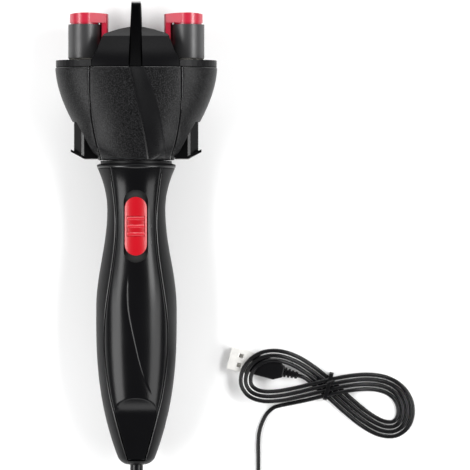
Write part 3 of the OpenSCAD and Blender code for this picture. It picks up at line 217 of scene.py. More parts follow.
def speckled(name, dark, light, grain, rough, depth, shine):
    """Spark-eroded plastic: fine light grains on a dark ground, that catch the light unevenly."""
    m = Material(name, Specular_IOR_Level=shine)
    spots = m.noise(grain, 1.0, 0.4)
    m.tone(spots, (0.42, dark), (0.66, light))
    m.drive("Roughness", m.noise(60.0, 3.0) * 0.1 + (rough - 0.05))
    m.bump(spots, depth)
    return m.material


def metal(name, colour, rough, grain, depth=0.00001):
    m = Material(name, Metallic=1.0)
    m.tone(m.noise(220.0, 3.0), (0.3, shade_of(colour, 0.88)), (0.7, shade_of(colour, 1.06)))
    m.drive("Roughness", m.noise(900.0, 2.0) * 0.16 + (rough - 0.08))
    m.bump(m.noise(grain, 2.0), depth)
    return m.material


gloss_black = plastic(
    "gloss_black", (0.003, 0.003, 0.0035), 0.22, 700.0, 0.000002, 0.1, 0.03, shine=0.2,
)
satin_black = plastic("satin_black", (0.004, 0.004, 0.0045), 0.4, 2600.0, 0.00001, shine=0.12)
head_black = speckled(
    "head_black", (0.0012, 0.0012, 0.0014), (0.019, 0.019, 0.02), 1900.0, 0.38, 0.0001,
    shine=0.14,
)
edge_black = plastic("edge_black", (0.006, 0.006, 0.0065), 0.24, 900.0, 0.000003, shine=0.55)
swoosh_black = plastic("swoosh_black", (0.003, 0.003, 0.0035), 0.28, 700.0, 0.000003, shine=0.5)
lever_black = plastic("lever_black", (0.002, 0.002, 0.0022), 0.3, 2000.0, 0.000004, shine=0.08)
dome_black = plastic("dome_black", (0.003, 0.003, 0.0035), 0.44, 2400.0, 0.000006, shine=0.06)
# The dome's top chamfer is painted lighter than the rest of the dome: a painted highlight.
chamfer_painted_highlight = plastic("chamfer_painted_highlight", (0.012, 0.012, 0.0125), 0.45, 2400.0, 0.000006, shine=0.2)
fin_black = plastic("fin_black", (0.001, 0.001, 0.0012), 0.4, 2400.0, 0.000005, shine=0.02)
# The fin's top is painted light grey: a painted highlight along its tip.
fin_tip_painted_highlight = plastic("fin_tip_painted_highlight", (0.16, 0.16, 0.165), 0.35, 2400.0, 0.000005)
barrel_grey = plastic("barrel_grey", (0.032, 0.032, 0.033), 0.38, 2200.0, 0.00001, shine=0.5)
cap_red = plastic(
    "cap_red", (0.42, 0.012, 0.035), 0.3, 900.0, 0.000003, 0.06, 0.04, Coat_Weight=0.3, Coat_Roughness=0.2,
)
slider_red = plastic(
    "slider_red", (0.42, 0.003, 0.01), 0.26, 900.0, 0.000003, 0.06, 0.04, shine=0.5,
)
# The slider's ribs are painted a lighter red than the slider: a painted highlight on the ridges, under a
# real glossy coat.
rib_red_painted_highlight = plastic(
    "rib_red_painted_highlight", (0.5, 0.01, 0.02), 0.2, 900.0, 0.000002, 0.06, 0.03, Coat_Weight=1.0, Coat_Roughness=0.12,
)
tray_grey = plastic("tray_grey", (0.02, 0.021, 0.021), 0.45, 2200.0, 0.00001, shine=0.4)
inner_nylon = plastic("inner_nylon", (0.72, 0.7, 0.64), 0.45, 1500.0, 0.00001)
chassis_grey = plastic("chassis_grey", (0.05, 0.05, 0.052), 0.45, 1800.0, 0.00002)
board_green = plastic("board_green", (0.02, 0.16, 0.06), 0.25, 1200.0, 0.00001)
cord_black = plastic("cord_black", (0.0025, 0.0025, 0.003), 0.3, 1500.0, 0.000005, shine=0.25)
mark_grey = plastic("mark_grey", (0.05, 0.05, 0.052), 0.5, 1500.0, 0.000005)
bush_brass = metal("bush_brass", (0.8, 0.76, 0.66), 0.25, 2000.0)
plain_steel = metal("plain_steel", (0.55, 0.55, 0.57), 0.3, 2000.0)
dark_steel = metal("dark_steel", (0.06, 0.06, 0.065), 0.4, 2000.0)
plug_metal = metal("plug_metal", (0.9, 0.89, 0.86), 0.55, 1400.0, 0.000002)

LOOK = {
    node: material
    for material, nodes in (
        (satin_black, "handle_rear_shell neck_collar deck_plate"),
        (gloss_black, "handle_front_panel"),
        (head_black, "head_front_panel head_rear_panel left_side_cover right_side_cover"),
        (dome_black, "dome"),
        (fin_black, "divider_fin"),
        (lever_black, "left_lever right_lever"),
        (barrel_grey, "left_barrel right_barrel"),
        (cap_red, "left_hook right_hook"),
        (slider_red, "switch_slider"),
        (tray_grey, "switch_tray"),
        (inner_nylon, "neck_bush switch_knob motor_end_cap sun_gear left_spindle right_spindle"),
        (chassis_grey, "gearbox head_chassis"),
        (board_green, "control_board"),
        (bush_brass, "left_spindle_bush right_spindle_bush"),
        (plain_steel, "slide_switch motor one_way_clutch retaining_ring drive_shaft"),
        (plain_steel, "left_hook_rod right_hook_rod left_hook_spring right_hook_spring"),
        (dark_steel, "handle_screws head_screws"),
        (cord_black, "strain_relief cord_lead cord_hank cord_tie plug_body"),
        (plug_metal, "plug_shell"),
    )
    for node in nodes.split()
}
BODIES = frame["record"]["behaviour"]["bodies"]
BODY = {node: body for body, nodes in BODIES.items() for node in nodes}


def paint(obj, material):
    obj.data.materials.clear()
    obj.data.materials.append(material)


def smooth_shade(obj, angle=35.0):
    obj.data.polygons.foreach_set("use_smooth", [True] * len(obj.data.polygons))
    obj.data.set_sharp_from_angle(angle=radians(angle))


for node_name, node_object in frame["nodes"].items():
    paint(node_object, LOOK[node_name])


# ---------------------------------------------------------------- mesh helpers
def new_object(name, vertices, faces):
    mesh = bpy.data.meshes.new(name)
    mesh.from_pydata(vertices, [], faces)
    mesh.update()
    obj = bpy.data.objects.new(name, mesh)
    bpy.context.scene.collection.objects.link(obj)
    return obj


def closed(name, vertices, faces):
    """A closed object: welded, without empty faces, and with every face turned outward."""
    obj = new_object(name, vertices, faces)
    bm = bmesh.new()
    bm.from_mesh(obj.data)
    bmesh.ops.remove_doubles(bm, verts=bm.verts, dist=1e-7)
    bmesh.ops.dissolve_degenerate(bm, edges=bm.edges, dist=1e-7)
    bmesh.ops.recalc_face_normals(bm, faces=bm.faces)
    bm.to_mesh(obj.data)
    bm.free()
    return obj


def shell(name, outside, inside):
    """A closed shell between two grids of standing points, with rims on all four edges."""
    rows, cols = len(outside), len(outside[0])
    points = [lie(*p) for row in outside + inside for p in row]
    half = rows * cols
    faces = []
    for i in range(rows - 1):
        for j in range(cols - 1):
            a = i * cols + j
            faces.append((a, a + 1, a + cols + 1, a + cols))
            faces.append((half + a, half + a + cols, half + a + cols + 1, half + a + 1))
    for j in range(cols - 1):
        for a in (j, (rows - 1) * cols + j):
            faces.append((a, half + a, half + a + 1, a + 1))
    for i in range(rows - 1):
        for a in (i * cols, i * cols + cols - 1):
            faces.append((a, a + cols, half + a + cols, half + a))
    return closed(name, points, faces)


def prism(name, outline, place, low=-FAR, high=FAR):
    """A prism of a flat outline; place(u, v, w) gives the point at depth w, in metres."""
    n = len(outline)
    points = [place(u, v, w) for w in (low, high) for u, v in outline]
    faces = [tuple(range(n)), tuple(range(2 * n - 1, n - 1, -1))]
    faces += [(j, n + j, n + (j + 1) % n, (j + 1) % n) for j in range(n)]
    return closed(name, points, faces)


def from_front(u, v, w):
    return lie(u, w, v)


def at(matrix):
    """A place for points in mm that the matrix sets in the lying frame."""
    return lambda x, y, z: matrix @ Vector((x, y, z)) * MM


def rectangle(left, low, right, high):
    return [(left, low), (right, low), (right, high), (left, high)]


def rounded_box(w, low, high, r, steps):
    """An outline with round corners, w to either side, from low to high."""
    outline = []
    middles = (w - r, high - r), (r - w, high - r), (r - w, low + r), (w - r, low + r)
    for quarter, (x, y) in enumerate(middles):
        for k in range(steps + 1):
            a = radians(90 * quarter + 90 / steps * k)
            outline.append((x + r * cos(a), y + r * sin(a)))
    return outline


def rounded_slot(width, length, count):
    """An outline with round ends round the switch, in (across, height) pairs."""
    r, straight, turn = width / 2, length / 2 - width / 2, evenly(0, pi, count)
    top = [(r * cos(a), SWITCH_Z + straight + r * sin(a)) for a in turn]
    return top + [(-r * cos(a), SWITCH_Z - straight - r * sin(a)) for a in turn]


def circle(x, y, r, count):
    turn = [2 * pi * k / count for k in range(count)]
    return [(x + r * cos(a), y + r * sin(a)) for a in turn]


def loft(name, rings):
    """A closed form through rings of standing points."""
    n = len(rings[0])
    points = [lie(*p) for ring in rings for p in ring]
    faces = [
        (i * n + j, i * n + (j + 1) % n, (i + 1) * n + (j + 1) % n, (i + 1) * n + j)
        for i in range(len(rings) - 1)
        for j in range(n)
    ]
    faces += [tuple(range(n)), tuple(range(len(points) - 1, len(points) - n - 1, -1))]
    return closed(name, points, faces)


def combine(obj, operation, *tools):
    """Applies an exact boolean with each tool, and removes the tools."""
    for tool in tools:
        modifier = obj.modifiers.new("combine", "BOOLEAN")
        modifier.operation, modifier.solver, modifier.object = operation, "EXACT", tool
        bpy.context.view_layer.update()
        evaluated = obj.evaluated_get(bpy.context.evaluated_depsgraph_get())
        done = bpy.data.meshes.new_from_object(evaluated)
        obj.modifiers.remove(modifier)
        old, obj.data = obj.data, done
        bpy.data.meshes.remove(old)
        bpy.data.objects.remove(tool)
    return obj


def cut(obj, *tools):
    return combine(obj, "DIFFERENCE", *tools)


def soften(obj, width, segments=3, angle=40.0):
    """Rounds the edges that turn by more than angle."""
    bevel = obj.modifiers.new("soft_edges", "BEVEL")
    bevel.width, bevel.segments, bevel.limit_method = width * MM, segments, "ANGLE"
    bevel.angle_limit = radians(angle)
    bevel.use_clamp_overlap = True
    bevel.harden_normals = True
    return obj


def wear(obj, node, material=None):
    """Paints obj, and gives it the CAD node's body and material slot."""
    paint(obj, material or LOOK[node])
    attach(obj, BODY[node])
    return obj


def stand_for(obj, *nodes):
    """obj is dressed as the first of the CAD nodes and takes the place of all of them."""
    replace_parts(wear(obj, nodes[0]), *nodes)
    return obj


def mix(a, b, t):
    return a + (b - a) * t


def touch(obj, material, where):
    """Gives the faces whose standing middle (x, y, z) passes the test another material."""
    obj.data.materials.append(material)
    for face in obj.data.polygons:
        p = face.center / MM
        if where(p.x, REST_H - p.z, p.y + TOOL_L / 2):
            face.material_index = len(obj.data.materials) - 1


# ---------------------------------------------------------------- forms
def bulge(value, n):
    return copysign(abs(value) ** (2 / n), value) if abs(value) > 1e-9 else 0.0


def depth_at(x, w, h, n):
    return h * max(0.0, 1 - min(1.0, abs(x) / w) ** n) ** (1 / n)


def ring_angle(x, w, n):
    return asin(min(0.999, x / w) ** (n / 2))


def ring_point(angle, w, h, c, n, z):
    return w * bulge(sin(angle), n), c - h * bulge(cos(angle), n), z


BELLY_LOW, BELLY_HIGH, WAIST_Z = 78 / 160 * HANDLE_L, 84 / 160 * HANDLE_L, 138 / 160 * HANDLE_L
HANDLE_N = 2.2


def half_wave(z, low, high):
    return (1 - cos(pi * (z - low) / (high - low))) / 2


def swell(z, tail, belly, waist, top):
    """Grows from the tail to the belly, draws in at the waist and flares to the top."""
    if z < BELLY_LOW:
        return tail + (belly - tail) * (1 - (1 - z / BELLY_LOW) ** 2.4)
    if z < BELLY_HIGH:
        return belly
    if z < WAIST_Z:
        return belly + (waist - belly) * half_wave(z, BELLY_HIGH, WAIST_Z)
    return waist + (top - waist) * ((z - WAIST_Z) / (HANDLE_L - WAIST_Z)) ** 1.95


def tail_round(z):
    return 0.0 if z >= TAIL_R else TAIL_R - sqrt(TAIL_R**2 - (TAIL_R - z) ** 2)


def handle_w(z):
    return swell(z, TAIL_W / 2, BELLY_W / 2, WAIST_W / 2, TOP_D / 2) - tail_round(z)


def handle_h(z):
    return swell(z, TAIL_D / 2, BELLY_D / 2, WAIST_D / 2, TOP_D / 2) - tail_round(z)


def handle_c(z):
    return swell(z, TAIL_SET, REST_H - BELLY_D / 2, 0.5, 0.0)


def handle_y(x, z, inset=0.0):
    return handle_c(z) - depth_at(x, handle_w(z) - inset, handle_h(z) - inset, HANDLE_N)


PANEL_MID, PANEL_NECK = 68 / 160 * HANDLE_L, 131 / 160 * HANDLE_L


def panel_half(z):
    """Half width of the glossy panel."""
    if z < SCOOP_L:
        free = mix(PANEL_TAIL_W, PANEL_W * 0.8, (z / SCOOP_L) ** 0.85) / 2
    elif z < PANEL_MID:
        turn = pi / 2 * (z - SCOOP_L) / (PANEL_MID - SCOOP_L)
        free = mix(PANEL_W * 0.8, PANEL_W, sin(turn)) / 2
    elif z < PANEL_NECK:
        free = mix(PANEL_W, PANEL_WAIST_W, half_wave(z, PANEL_MID, PANEL_NECK)) / 2
    else:
        share = (z - PANEL_NECK) / (HANDLE_L - PANEL_NECK)
        free = mix(PANEL_WAIST_W, PANEL_TOP_W, share**1.6) / 2
    return min(free, handle_w(z) - 0.6)


SCOOP_TURN = SCOOP_L - 9.5


def scoop_floor(z):
    line = SCOOP_END + SCOOP_SLOPE * z
    if z <= SCOOP_TURN:
        return line
    front = handle_h(SCOOP_L) - handle_c(SCOOP_L)
    rise = front - (SCOOP_END + SCOOP_SLOPE * SCOOP_L)
    return line + rise * ((z - SCOOP_TURN) / (SCOOP_L - SCOOP_TURN)) ** 1.6


TAIL_SOLID = SCOOP_TURN + 3
LIP_Z = TAIL_R / 2 + 0.2

# Depths of a rounded seam edge: (distance from the seam, drop of the surface)
SOFT_EDGE = [(0.0, 0.6), (0.08, 0.37), (0.22, 0.19), (0.42, 0.06), (0.7, 0.0)]
EDGE_IN = SOFT_EDGE[-1][0]
# How far the polish reaches in from a seam
EDGE_W = 0.45


def soft_columns(half, middle):
    """Places across a panel, with its soft edges at both seams: (x, drop)."""
    left = [(-half + d, drop) for d, drop in SOFT_EDGE]
    return left + middle + [(half - d, drop) for d, drop in reversed(SOFT_EDGE)]


def evenly(low, high, count):
    return [mix(low, high, k / count) for k in range(count + 1)]


# ---------------------------------------------------------------- handle shells
# The crease runs down the panel from under the switch and swings out to the right seam: (z, x).
CREASE = [
    (34.0, 10.6), (38.9, 8.4), (50.8, 3.5), (68.6, -0.9), (82.9, -3.7), (92.0, -4.3), (102.6, -4.0),
]
CREASE_DROP, CREASE_SPREAD = 0.3, 2.4
CREASE_STEPS = [(-0.5, 1.0), (-0.25, 0.75), (0.0, 0.2), (0.2, 0.0)]


def crease_x(z):
    """Where the crease crosses the panel at the height z, on a smooth curve through its points."""
    z = min(max(z, CREASE[0][0]), CREASE[-1][0])
    slopes = [
        (b[1] - a[1]) / (b[0] - a[0])
        for a, b in zip([CREASE[0]] + CREASE[:-1], CREASE[1:] + [CREASE[-1]])
    ]
    for (z0, a), (z1, b), m0, m1 in zip(CREASE, CREASE[1:], slopes, slopes[1:]):
        if z <= z1:
            t, span = (z - z0) / (z1 - z0), z1 - z0
            return (
                (2 * t**3 - 3 * t**2 + 1) * a + (t**3 - 2 * t**2 + t) * span * m0
                + (3 * t**2 - 2 * t**3) * b + (t**3 - t**2) * span * m1
            )
    return CREASE[-1][1]


def crease_depth(z):
    """How deep the step at the crease is: it fades out at both ends."""
    low, high = min(1.0, max(0.0, (z - 37) / 9)), min(1.0, max(0.0, (103 - z) / 12))
    return CREASE_DROP * low * high


def panel_columns(z):
    """Places across the glossy panel: its soft seams, and on either side of the crease: (x, drop)."""
    half = panel_half(z) - SEAM / 2
    inner, bend, deep = half - EDGE_IN, crease_x(z), crease_depth(z)
    bend = min(bend, inner - 1.0)
    left, right = bend + CREASE_STEPS[0][0], bend + CREASE_STEPS[-1][0]
    columns = []
    for k in range(1, 24):
        x = mix(-inner, left, (k / 24) ** 0.8)
        columns.append((x, deep * exp((x - left) / CREASE_SPREAD)))
    columns += [(bend + dx, deep * share) for dx, share in CREASE_STEPS]
    columns += [(mix(right, inner, k / 20), 0.0) for k in range(1, 20)]
    return soft_columns(half, columns)


def panel_surface(x, z):
    if z >= SCOOP_L:
        return handle_y(x, z)
    return max(handle_y(x, z), -scoop_floor(z))


def make_handle_panel():
    heights = (
        [LIP_Z + SEAM + d for d, _ in SOFT_EDGE]
        + evenly(LIP_Z + SEAM + 1.0, SCOOP_TURN, 12)
        + evenly(SCOOP_TURN + 0.6, SCOOP_L + 3, 26)
        + evenly(SCOOP_L + 4, HANDLE_L, 76)
    )
    start_drop = {LIP_Z + SEAM + d: drop for d, drop in SOFT_EDGE}
    outside, inside = [], []
    for z in heights:
        row, inner = [], []
        for x, drop in panel_columns(z):
            y = panel_surface(x, z)
            row.append((x, y + max(drop, start_drop.get(z, 0.0)), z))
            back = -scoop_floor(z) + WALL if z < TAIL_SOLID + 0.6 else handle_y(x, z, WALL)
            if TAIL_SOLID + 0.6 <= z < SCOOP_L:
                back = max(back, -scoop_floor(z) + WALL)
            inner.append((x, back, z))
        outside.append(row)
        inside.append(inner)
    obj = shell("gloss_panel", outside, inside)
    slot = rounded_slot(SLOT_W, SLOT_L, 24)
    cut(obj, prism("slot", slot, from_front, -REACH, 0))
    smooth_shade(obj, 30)
    soften(obj, 0.3, 2, 60).modifiers[0].material = 1
    stand_for(obj, "handle_front_panel")
    obj.data.materials.append(edge_black)


REAR_SCREWS = [(0.0, 39.0), (10.6, HANDLE_L - 48), (-10.6, HANDLE_L - 48)]
SCREW_SEAT_Y, SCREW_HEAD_R, BOSS_R = 9.0, 2.3, 3.4


def around_back(edge, z, inset, count):
    """A ring of the handle from its right seam, round the back, to the left seam, with soft edges."""
    w, h = handle_w(z) - inset, handle_h(z) - inset
    steps = [(edge + d, drop if inset == 0 else 0.0) for d, drop in SOFT_EDGE if edge + d < w]
    points = []
    for x, drop in steps:
        px, py, pz = ring_point(ring_angle(x, w, HANDLE_N), w, h, handle_c(z), HANDLE_N, z)
        points.append((px, py + drop, pz))
    while len(points) < len(SOFT_EDGE):
        points.append(points[-1])
    a0 = ring_angle(min(edge + EDGE_IN, w * 0.998), w, HANDLE_N)
    middle = [
        ring_point(mix(a0, 2 * pi - a0, k / count), w, h, handle_c(z), HANDLE_N, z)
        for k in range(1, count)
    ]
    return points + middle + [(-x, y, z) for x, y, z in reversed(points)]


def make_rear_shell():
    tail = [TAIL_R * (1 - cos(a)) for a in evenly(0, pi / 3, 10)]
    seat_rows = [LIP_Z] + evenly(LIP_Z + 0.5, TAIL_R, 5) + evenly(TAIL_R + 1, TAIL_SOLID, 20)
    open_rows = evenly(TAIL_SOLID + 0.2, HANDLE_L, 92)
    count = 72
    outside, inside = [], []
    for z in tail + seat_rows + open_rows:
        edge = panel_half(z) + SEAM / 2
        ring = around_back(edge, z, 0.0, count)
        outside.append(ring)
        n = len(ring)
        if z in open_rows:
            inside.append(around_back(edge, z, WALL, count))
        elif z in tail:
            xs = [(edge - 0.02) * (1 - 2 * k / (n - 1)) for k in range(n)]
            drops = [0.42 if abs(x) > edge - 0.03 else 0.0 for x in xs]
            inside.append([(x, handle_y(x, z) + drop, z) for x, drop in zip(xs, drops)])
        else:
            y = -scoop_floor(z) + WALL + SEAM
            inside.append([(edge * (1 - 2 * k / (n - 1)), y, z) for k in range(n)])
    obj = shell("rear_shell", outside, inside)
    for x, z in REAR_SCREWS:
        wall_y = handle_c(z) + depth_at(x, handle_w(z), handle_h(z), HANDLE_N) - WALL * 0.7
        boss, seat = circle(x, z, BOSS_R, 32), circle(x, z, SCREW_HEAD_R, 32)
        combine(obj, "UNION", prism("boss", boss, from_front, SCREW_SEAT_Y - 1.5, wall_y))
        cut(obj, prism("seat", seat, from_front, SCREW_SEAT_Y, REACH))
    smooth_shade(obj, 30)
    stand_for(obj, "handle_rear_shell")
    touch(
        obj, edge_black,
        lambda x, y, z: y < handle_c(z) and 0.02 < abs(x) - panel_half(z) - SEAM / 2 < EDGE_W,
    )


# ---------------------------------------------------------------- head shells
LEDGE_S = LEDGE_H / HEAD_H


def head_w(s):
    swell_out = 0.0 if s > LEDGE_S else 33 * s / LEDGE_S * (1 - s / LEDGE_S) ** 2
    return mix(NECK_R, HEAD_W / 2, 1 - (1 - s) ** 1.72) + swell_out


def head_d(s):
    return mix(NECK_R, REST_H, 1 - (1 - s) ** 2.2)


def head_n(s):
    return 2 + 0.5 * s


def face_half(s):
    return mix(FACE_FOOT_W, FACE_W + 0.8, 1 - (1 - s) ** 2.6) / 2 - 0.4 * s**4


def head_wall(s):
    return min(WALL, (head_w(s) - face_half(s)) * 0.6)


def head_front(x, s, inset=0.0):
    return depth_at(x, head_w(s) - inset, head_d(s) - inset, head_n(s))


def swoosh_left(s):
    return mix(6.1, -3.8, s**1.5) - 0.6 * sin(pi * s)


def swoosh_right(s):
    return mix(15.9, 4.6, s**1.9)


def head_rows(count=56):
    """Height shares with close steps at both rims: (share, drop of the rim)."""
    rims = [(d / HEAD_H, drop) for d, drop in SOFT_EDGE]
    first = rims[-1][0]
    middle = [(mix(first, 1 - first, k / count), 0.0) for k in range(1, count)]
    return rims + middle + [(1 - s, drop) for s, drop in reversed(rims)]


def make_head_front():
    outside, inside = [], []
    for s, rim in head_rows():
        z = HEAD_Z + HEAD_H * s
        left, right = swoosh_left(s), swoosh_right(s)
        half = face_half(s) - SEAM / 2
        cols = [(mix(-half + EDGE_IN, left - 0.35, k / 22), 0.0) for k in range(1, 23)]
        cols += [(mix(left, right, k / 22), SWOOSH_T * swoosh_profile(k / 22)) for k in range(23)]
        cols += [(mix(right + 0.35, half - EDGE_IN, k / 12), 0.0) for k in range(12)]
        cols = soft_columns(half, cols)
        outside.append([(x, -head_front(x, s) + max(drop, rim * 0.8), z) for x, drop in cols])
        inside.append([(x, -head_front(x, s, head_wall(s)), z) for x, _ in cols])
    obj = shell("head_front", outside, inside)
    smooth_shade(obj, 24)
    stand_for(obj, "head_front_panel")
    touch(
        obj, swoosh_black,
        lambda x, y, z: y < 0 and swoosh_left(head_share(z)) < x < swoosh_right(head_share(z)),
    )
    touch(obj, edge_black, lambda x, y, z: y < 0 and near_seam(x, z, -1))


def head_share(z):
    return min(1.0, max(0.0, (z - HEAD_Z) / HEAD_H))


def near_seam(x, z, side):
    """On the soft edge of the head's front panel (side -1) or of a side cover (side 1)."""
    from_seam = side * (abs(x) - face_half(head_share(z))) - SEAM / 2
    return 0.02 < from_seam < EDGE_W or HEAD_Z + HEAD_H - EDGE_W < z < HEAD_Z + HEAD_H - 0.01


def swoosh_profile(t):
    """How deep the swept facet lies, from its left edge to its right edge."""
    return min(1.0, t / 0.09) * (1 - t) ** 0.55 * (0.75 + 0.25 * cos(pi * t))


GEAR_Z, GEAR_T, HEAD_BOSS_R = PLATE_Z + 4.2, 6.0, 2.2
HEAD_SCREW_Z = (HEAD_Z + 17.4, GEAR_Z + GEAR_T + HEAD_BOSS_R + 2.8)
HEAD_SCREW_X = (15.0, 16.0)
HEAD_SEAT_Y = 12.0


def make_head_rear():
    outside, inside = [], []
    for s, rim in head_rows():
        z = HEAD_Z + HEAD_H * s
        half = face_half(s) - SEAM / 2
        inner = half - EDGE_IN
        cols = soft_columns(half, [(mix(-inner, inner, k / 44), 0.0) for k in range(1, 44)])
        outside.append([(x, head_front(x, s) - max(drop, rim * 0.8), z) for x, drop in cols])
        inside.append([(x, head_front(x, s, head_wall(s)), z) for x, _ in cols])
    obj = shell("head_rear", outside, inside)
    for z, x in zip(HEAD_SCREW_Z, HEAD_SCREW_X):
        for side in (-1, 1):
            seat = circle(side * x, z, SCREW_HEAD_R, 32)
            cut(obj, prism("seat", seat, from_front, HEAD_SEAT_Y, REACH))
    smooth_shade(obj, 30)
    stand_for(obj, "head_rear_panel")


LEVER_CORNER = LEVER_X - 5


def both_halves(side, front):
    """A plan on one side of the tool, from its front half."""
    return [(side * x, y) for x, y in front + [(x, -y) for x, y in reversed(front)]]


def lever_outline(side, grow):
    half, face = LEVER_D / 2 + grow, LEVER_FACE_D / 2 + grow / 2
    front = [(LEVER_IN_X - grow, -half), (LEVER_CORNER, -half), (LEVER_X + grow, -face)]
    return both_halves(side, front)


LEVER_LOW, LEVER_TOP = HEAD_Z + 0.6, PLATE_Z - 8.8
LIP_T, LIP_OUT, LIP_RISE, LIP_BEND = 1.4, 1.7, 3.8, 28.0
CHAMFER = 0.8


def make_lever(side, node):
    """A post with a chamfered front corner, on a lip that bends up to its outer end."""
    half, face, corner = LEVER_D / 2, LEVER_FACE_D / 2, LEVER_CORNER
    slope = (half - face) / (LEVER_X - corner)
    front = [
        (LEVER_IN_X, -half), (corner - 0.6, -half), (corner + CHAMFER, CHAMFER - half),
        (LEVER_X - 0.4, -face - slope * 0.4), (LEVER_X, -face + 0.3),
    ]
    outer, middle = LEVER_X + LIP_OUT, LEVER_LOW + LIP_T / 2
    obj = prism(node + "_dressed", both_halves(side, front), lie, LEVER_LOW + LIP_T - 0.1, LEVER_TOP)
    foot = [
        (side * LIP_BEND, LEVER_LOW - 1), (side * LIP_BEND, middle),
        (side * outer, LEVER_LOW + LIP_RISE + LIP_T / 2), (side * outer, LEVER_LOW - 1),
    ]
    cut(obj, prism("foot", foot, from_front))
    room = [(LEVER_IN_X - 1, 2 - half), (LEVER_X - 6, 2 - half), (LEVER_X - 2, 1 - face)]
    cut(obj, prism("room", both_halves(side, room), lie, LEVER_LOW + 6, LEVER_TOP - 3))
    plan = both_halves(side, [(LEVER_IN_X, -half), (corner, -half), (outer, -face - 1)])
    lip = prism("lip", plan, lie, LEVER_LOW - 5, LEVER_TOP)
    under = [(LEVER_IN_X, LEVER_LOW), (LIP_BEND, LEVER_LOW), (outer, LEVER_LOW + LIP_RISE)]
    section = [(side * x, z) for x, z in under + [(x, z + LIP_T) for x, z in reversed(under)]]
    combine(lip, "INTERSECT", prism("section", section, from_front))
    combine(obj, "UNION", lip)
    soften(obj, 0.15, 2, 40)
    smooth_shade(obj, 8)
    stand_for(obj, node)
    touch(
        obj, edge_black,
        lambda x, y, z: corner - 0.5 < abs(x) < corner + 0.75 and y < CHAMFER + 0.1 - half,
    )


SLANT = (LEDGE_H - 0.3) / (LEDGE_X - FOOT_X)


def make_side_cover(side, node):
    outside, inside = [], []
    for s, rim in head_rows(64):
        z = HEAD_Z + HEAD_H * s
        edge = face_half(s) + SEAM / 2
        rows = []
        for inset in (0.0, head_wall(s)):
            w, h, n = head_w(s) - inset, head_d(s) - inset, head_n(s)
            soft = []
            for d, drop in SOFT_EDGE:
                a = ring_angle(min(edge + d, w * 0.999), w, n)
                x, y, _ = ring_point(a, w, h, 0.0, n, z)
                soft.append((x, y + (max(drop, rim * 0.5) if inset == 0 else 0.0), z))
            a0 = ring_angle(min(edge + EDGE_IN, w * 0.998), w, n)
            middle = []
            for k in range(1, 48):
                x, y, _ = ring_point(mix(a0, pi - a0, k / 48), w, h, 0.0, n, z)
                scale = 1 - (rim * 0.8 / w if inset == 0 else 0.0)
                middle.append((x * scale, y * scale, z))
            back = [(x, -y, z) for x, y, z in reversed(soft)]
            rows.append([(side * x, y, z) for x, y, z in soft + middle + back])
        outside.append(rows[0])
        inside.append(rows[1])
    obj = shell(node + "_dressed", outside, inside)
    foot = [
        (side * (FOOT_X - 1.9), LEDGE_Z - SLANT * (LEDGE_X - FOOT_X + 1.9)),
        (side * FAR, HEAD_Z - 4), (side * FAR, LEDGE_Z), (side * LEDGE_X, LEDGE_Z),
    ]
    cut(
        obj,
        prism("under", foot, from_front),
        prism("pocket", lever_outline(side, 0.3), lie, HEAD_Z - 1, PLATE_Z + 0.5),
    )
    smooth_shade(obj, 30)
    soften(obj, 0.35, 2, 50)
    stand_for(obj, node)
    touch(obj, edge_black, lambda x, y, z: y < 0 and near_seam(x, z, 1))


# ---------------------------------------------------------------- dome and fin
SHOULDER_Z = DOME_H * 0.76
DOME_FRONT = [
    (DOME_W / 2, 0.0), (DOME_W / 2, DECK_T), (mix(DOME_W, DOME_TOP_W, 0.5) / 2, DOME_H * 0.4),
    (DOME_TOP_W / 2, SHOULDER_Z), (DOME_TOP_W / 2 - 0.8, SHOULDER_Z + 1.1),
    (DOME_TOP_W / 2 - 3.2, SHOULDER_Z + 2), (DOME_TOP_W * 0.27, DOME_H * 0.93),
    (DOME_TOP_W * 0.12, DOME_H * 0.985),
]
DOME_SIDE = [
    (mix(REST_H - 0.3, DOME_TOP_D / 2, 1 - cos(pi / 2 * i / 24)), SHOULDER_Z * i / 24)
    for i in range(25)
] + [(DOME_TOP_D / 2 - 2, DOME_H * 0.9), (DOME_TOP_D / 2 - 5, DOME_H)]
DOME_SEAT_Y = 18.0
BARREL_D, LEG_GAP, LEG_T = 17.9, 0.35, 3.5


def mirrored(half, top=None):
    """A closed outline from its right half, in (across, height) pairs over the deck."""
    right = [(x, DECK_Z + z) for x, z in half]
    middle = [(0.0, DECK_Z + top)] if top else []
    return right + middle + [(-x, z) for x, z in reversed(right)]


def deck_plan(shrink):
    n = head_n(1.0)
    return [
        ring_point(2 * pi * k / 96, HEAD_W / 2 - shrink, REST_H - shrink, 0.0, n, 0.0)[:2]
        for k in range(96)
    ]


def deck_seat():
    """The room that the deck plate takes under the dome and the fin."""
    deep = DOME_SEAT_Y + SEAM
    return prism("seat", rectangle(-FAR, -deep, FAR, deep), lie, DECK_Z - 1, DECK_TOP)


def make_dome():
    obj = prism("dome_dressed", mirrored(DOME_FRONT, DOME_H), from_front)
    plan = deck_plan(0.3)
    full = REST_H - 0.3
    rings = [[(x, y * deep / full, DECK_Z + z) for x, y in plan] for deep, z in DOME_SIDE]
    combine(obj, "INTERSECT", loft("body", rings))
    cut(obj, deck_seat())
    pocket_r = BARREL_D / 2 + LEG_GAP + LEG_T + 0.4
    for side in (-1, 1):
        pocket = circle(side * PITCH / 2, 0.0, pocket_r, 96)
        cut(obj, prism("pocket", pocket, lie, DECK_Z - 1, DECK_Z + 60))
    cut(obj, prism("slot", fin_front(0.02), from_front))
    soften(obj, 1.0, 4, 42)
    smooth_shade(obj, 24)
    stand_for(obj, "dome")
    # Painted highlight: the front chamfer along the dome's top is painted lighter.
    touch(obj, chamfer_painted_highlight, lambda x, y, z: y < 0 and z > DECK_Z + DOME_H * 0.78)


def fin_front(gap):
    low, tip = FIN_T / 2 + gap, FIN_TIP_T / 2 + gap
    right = [(low, DECK_Z - 1), (low, DECK_TOP), (tip, TOOL_L)]
    return right + [(-x, z) for x, z in reversed(right)]


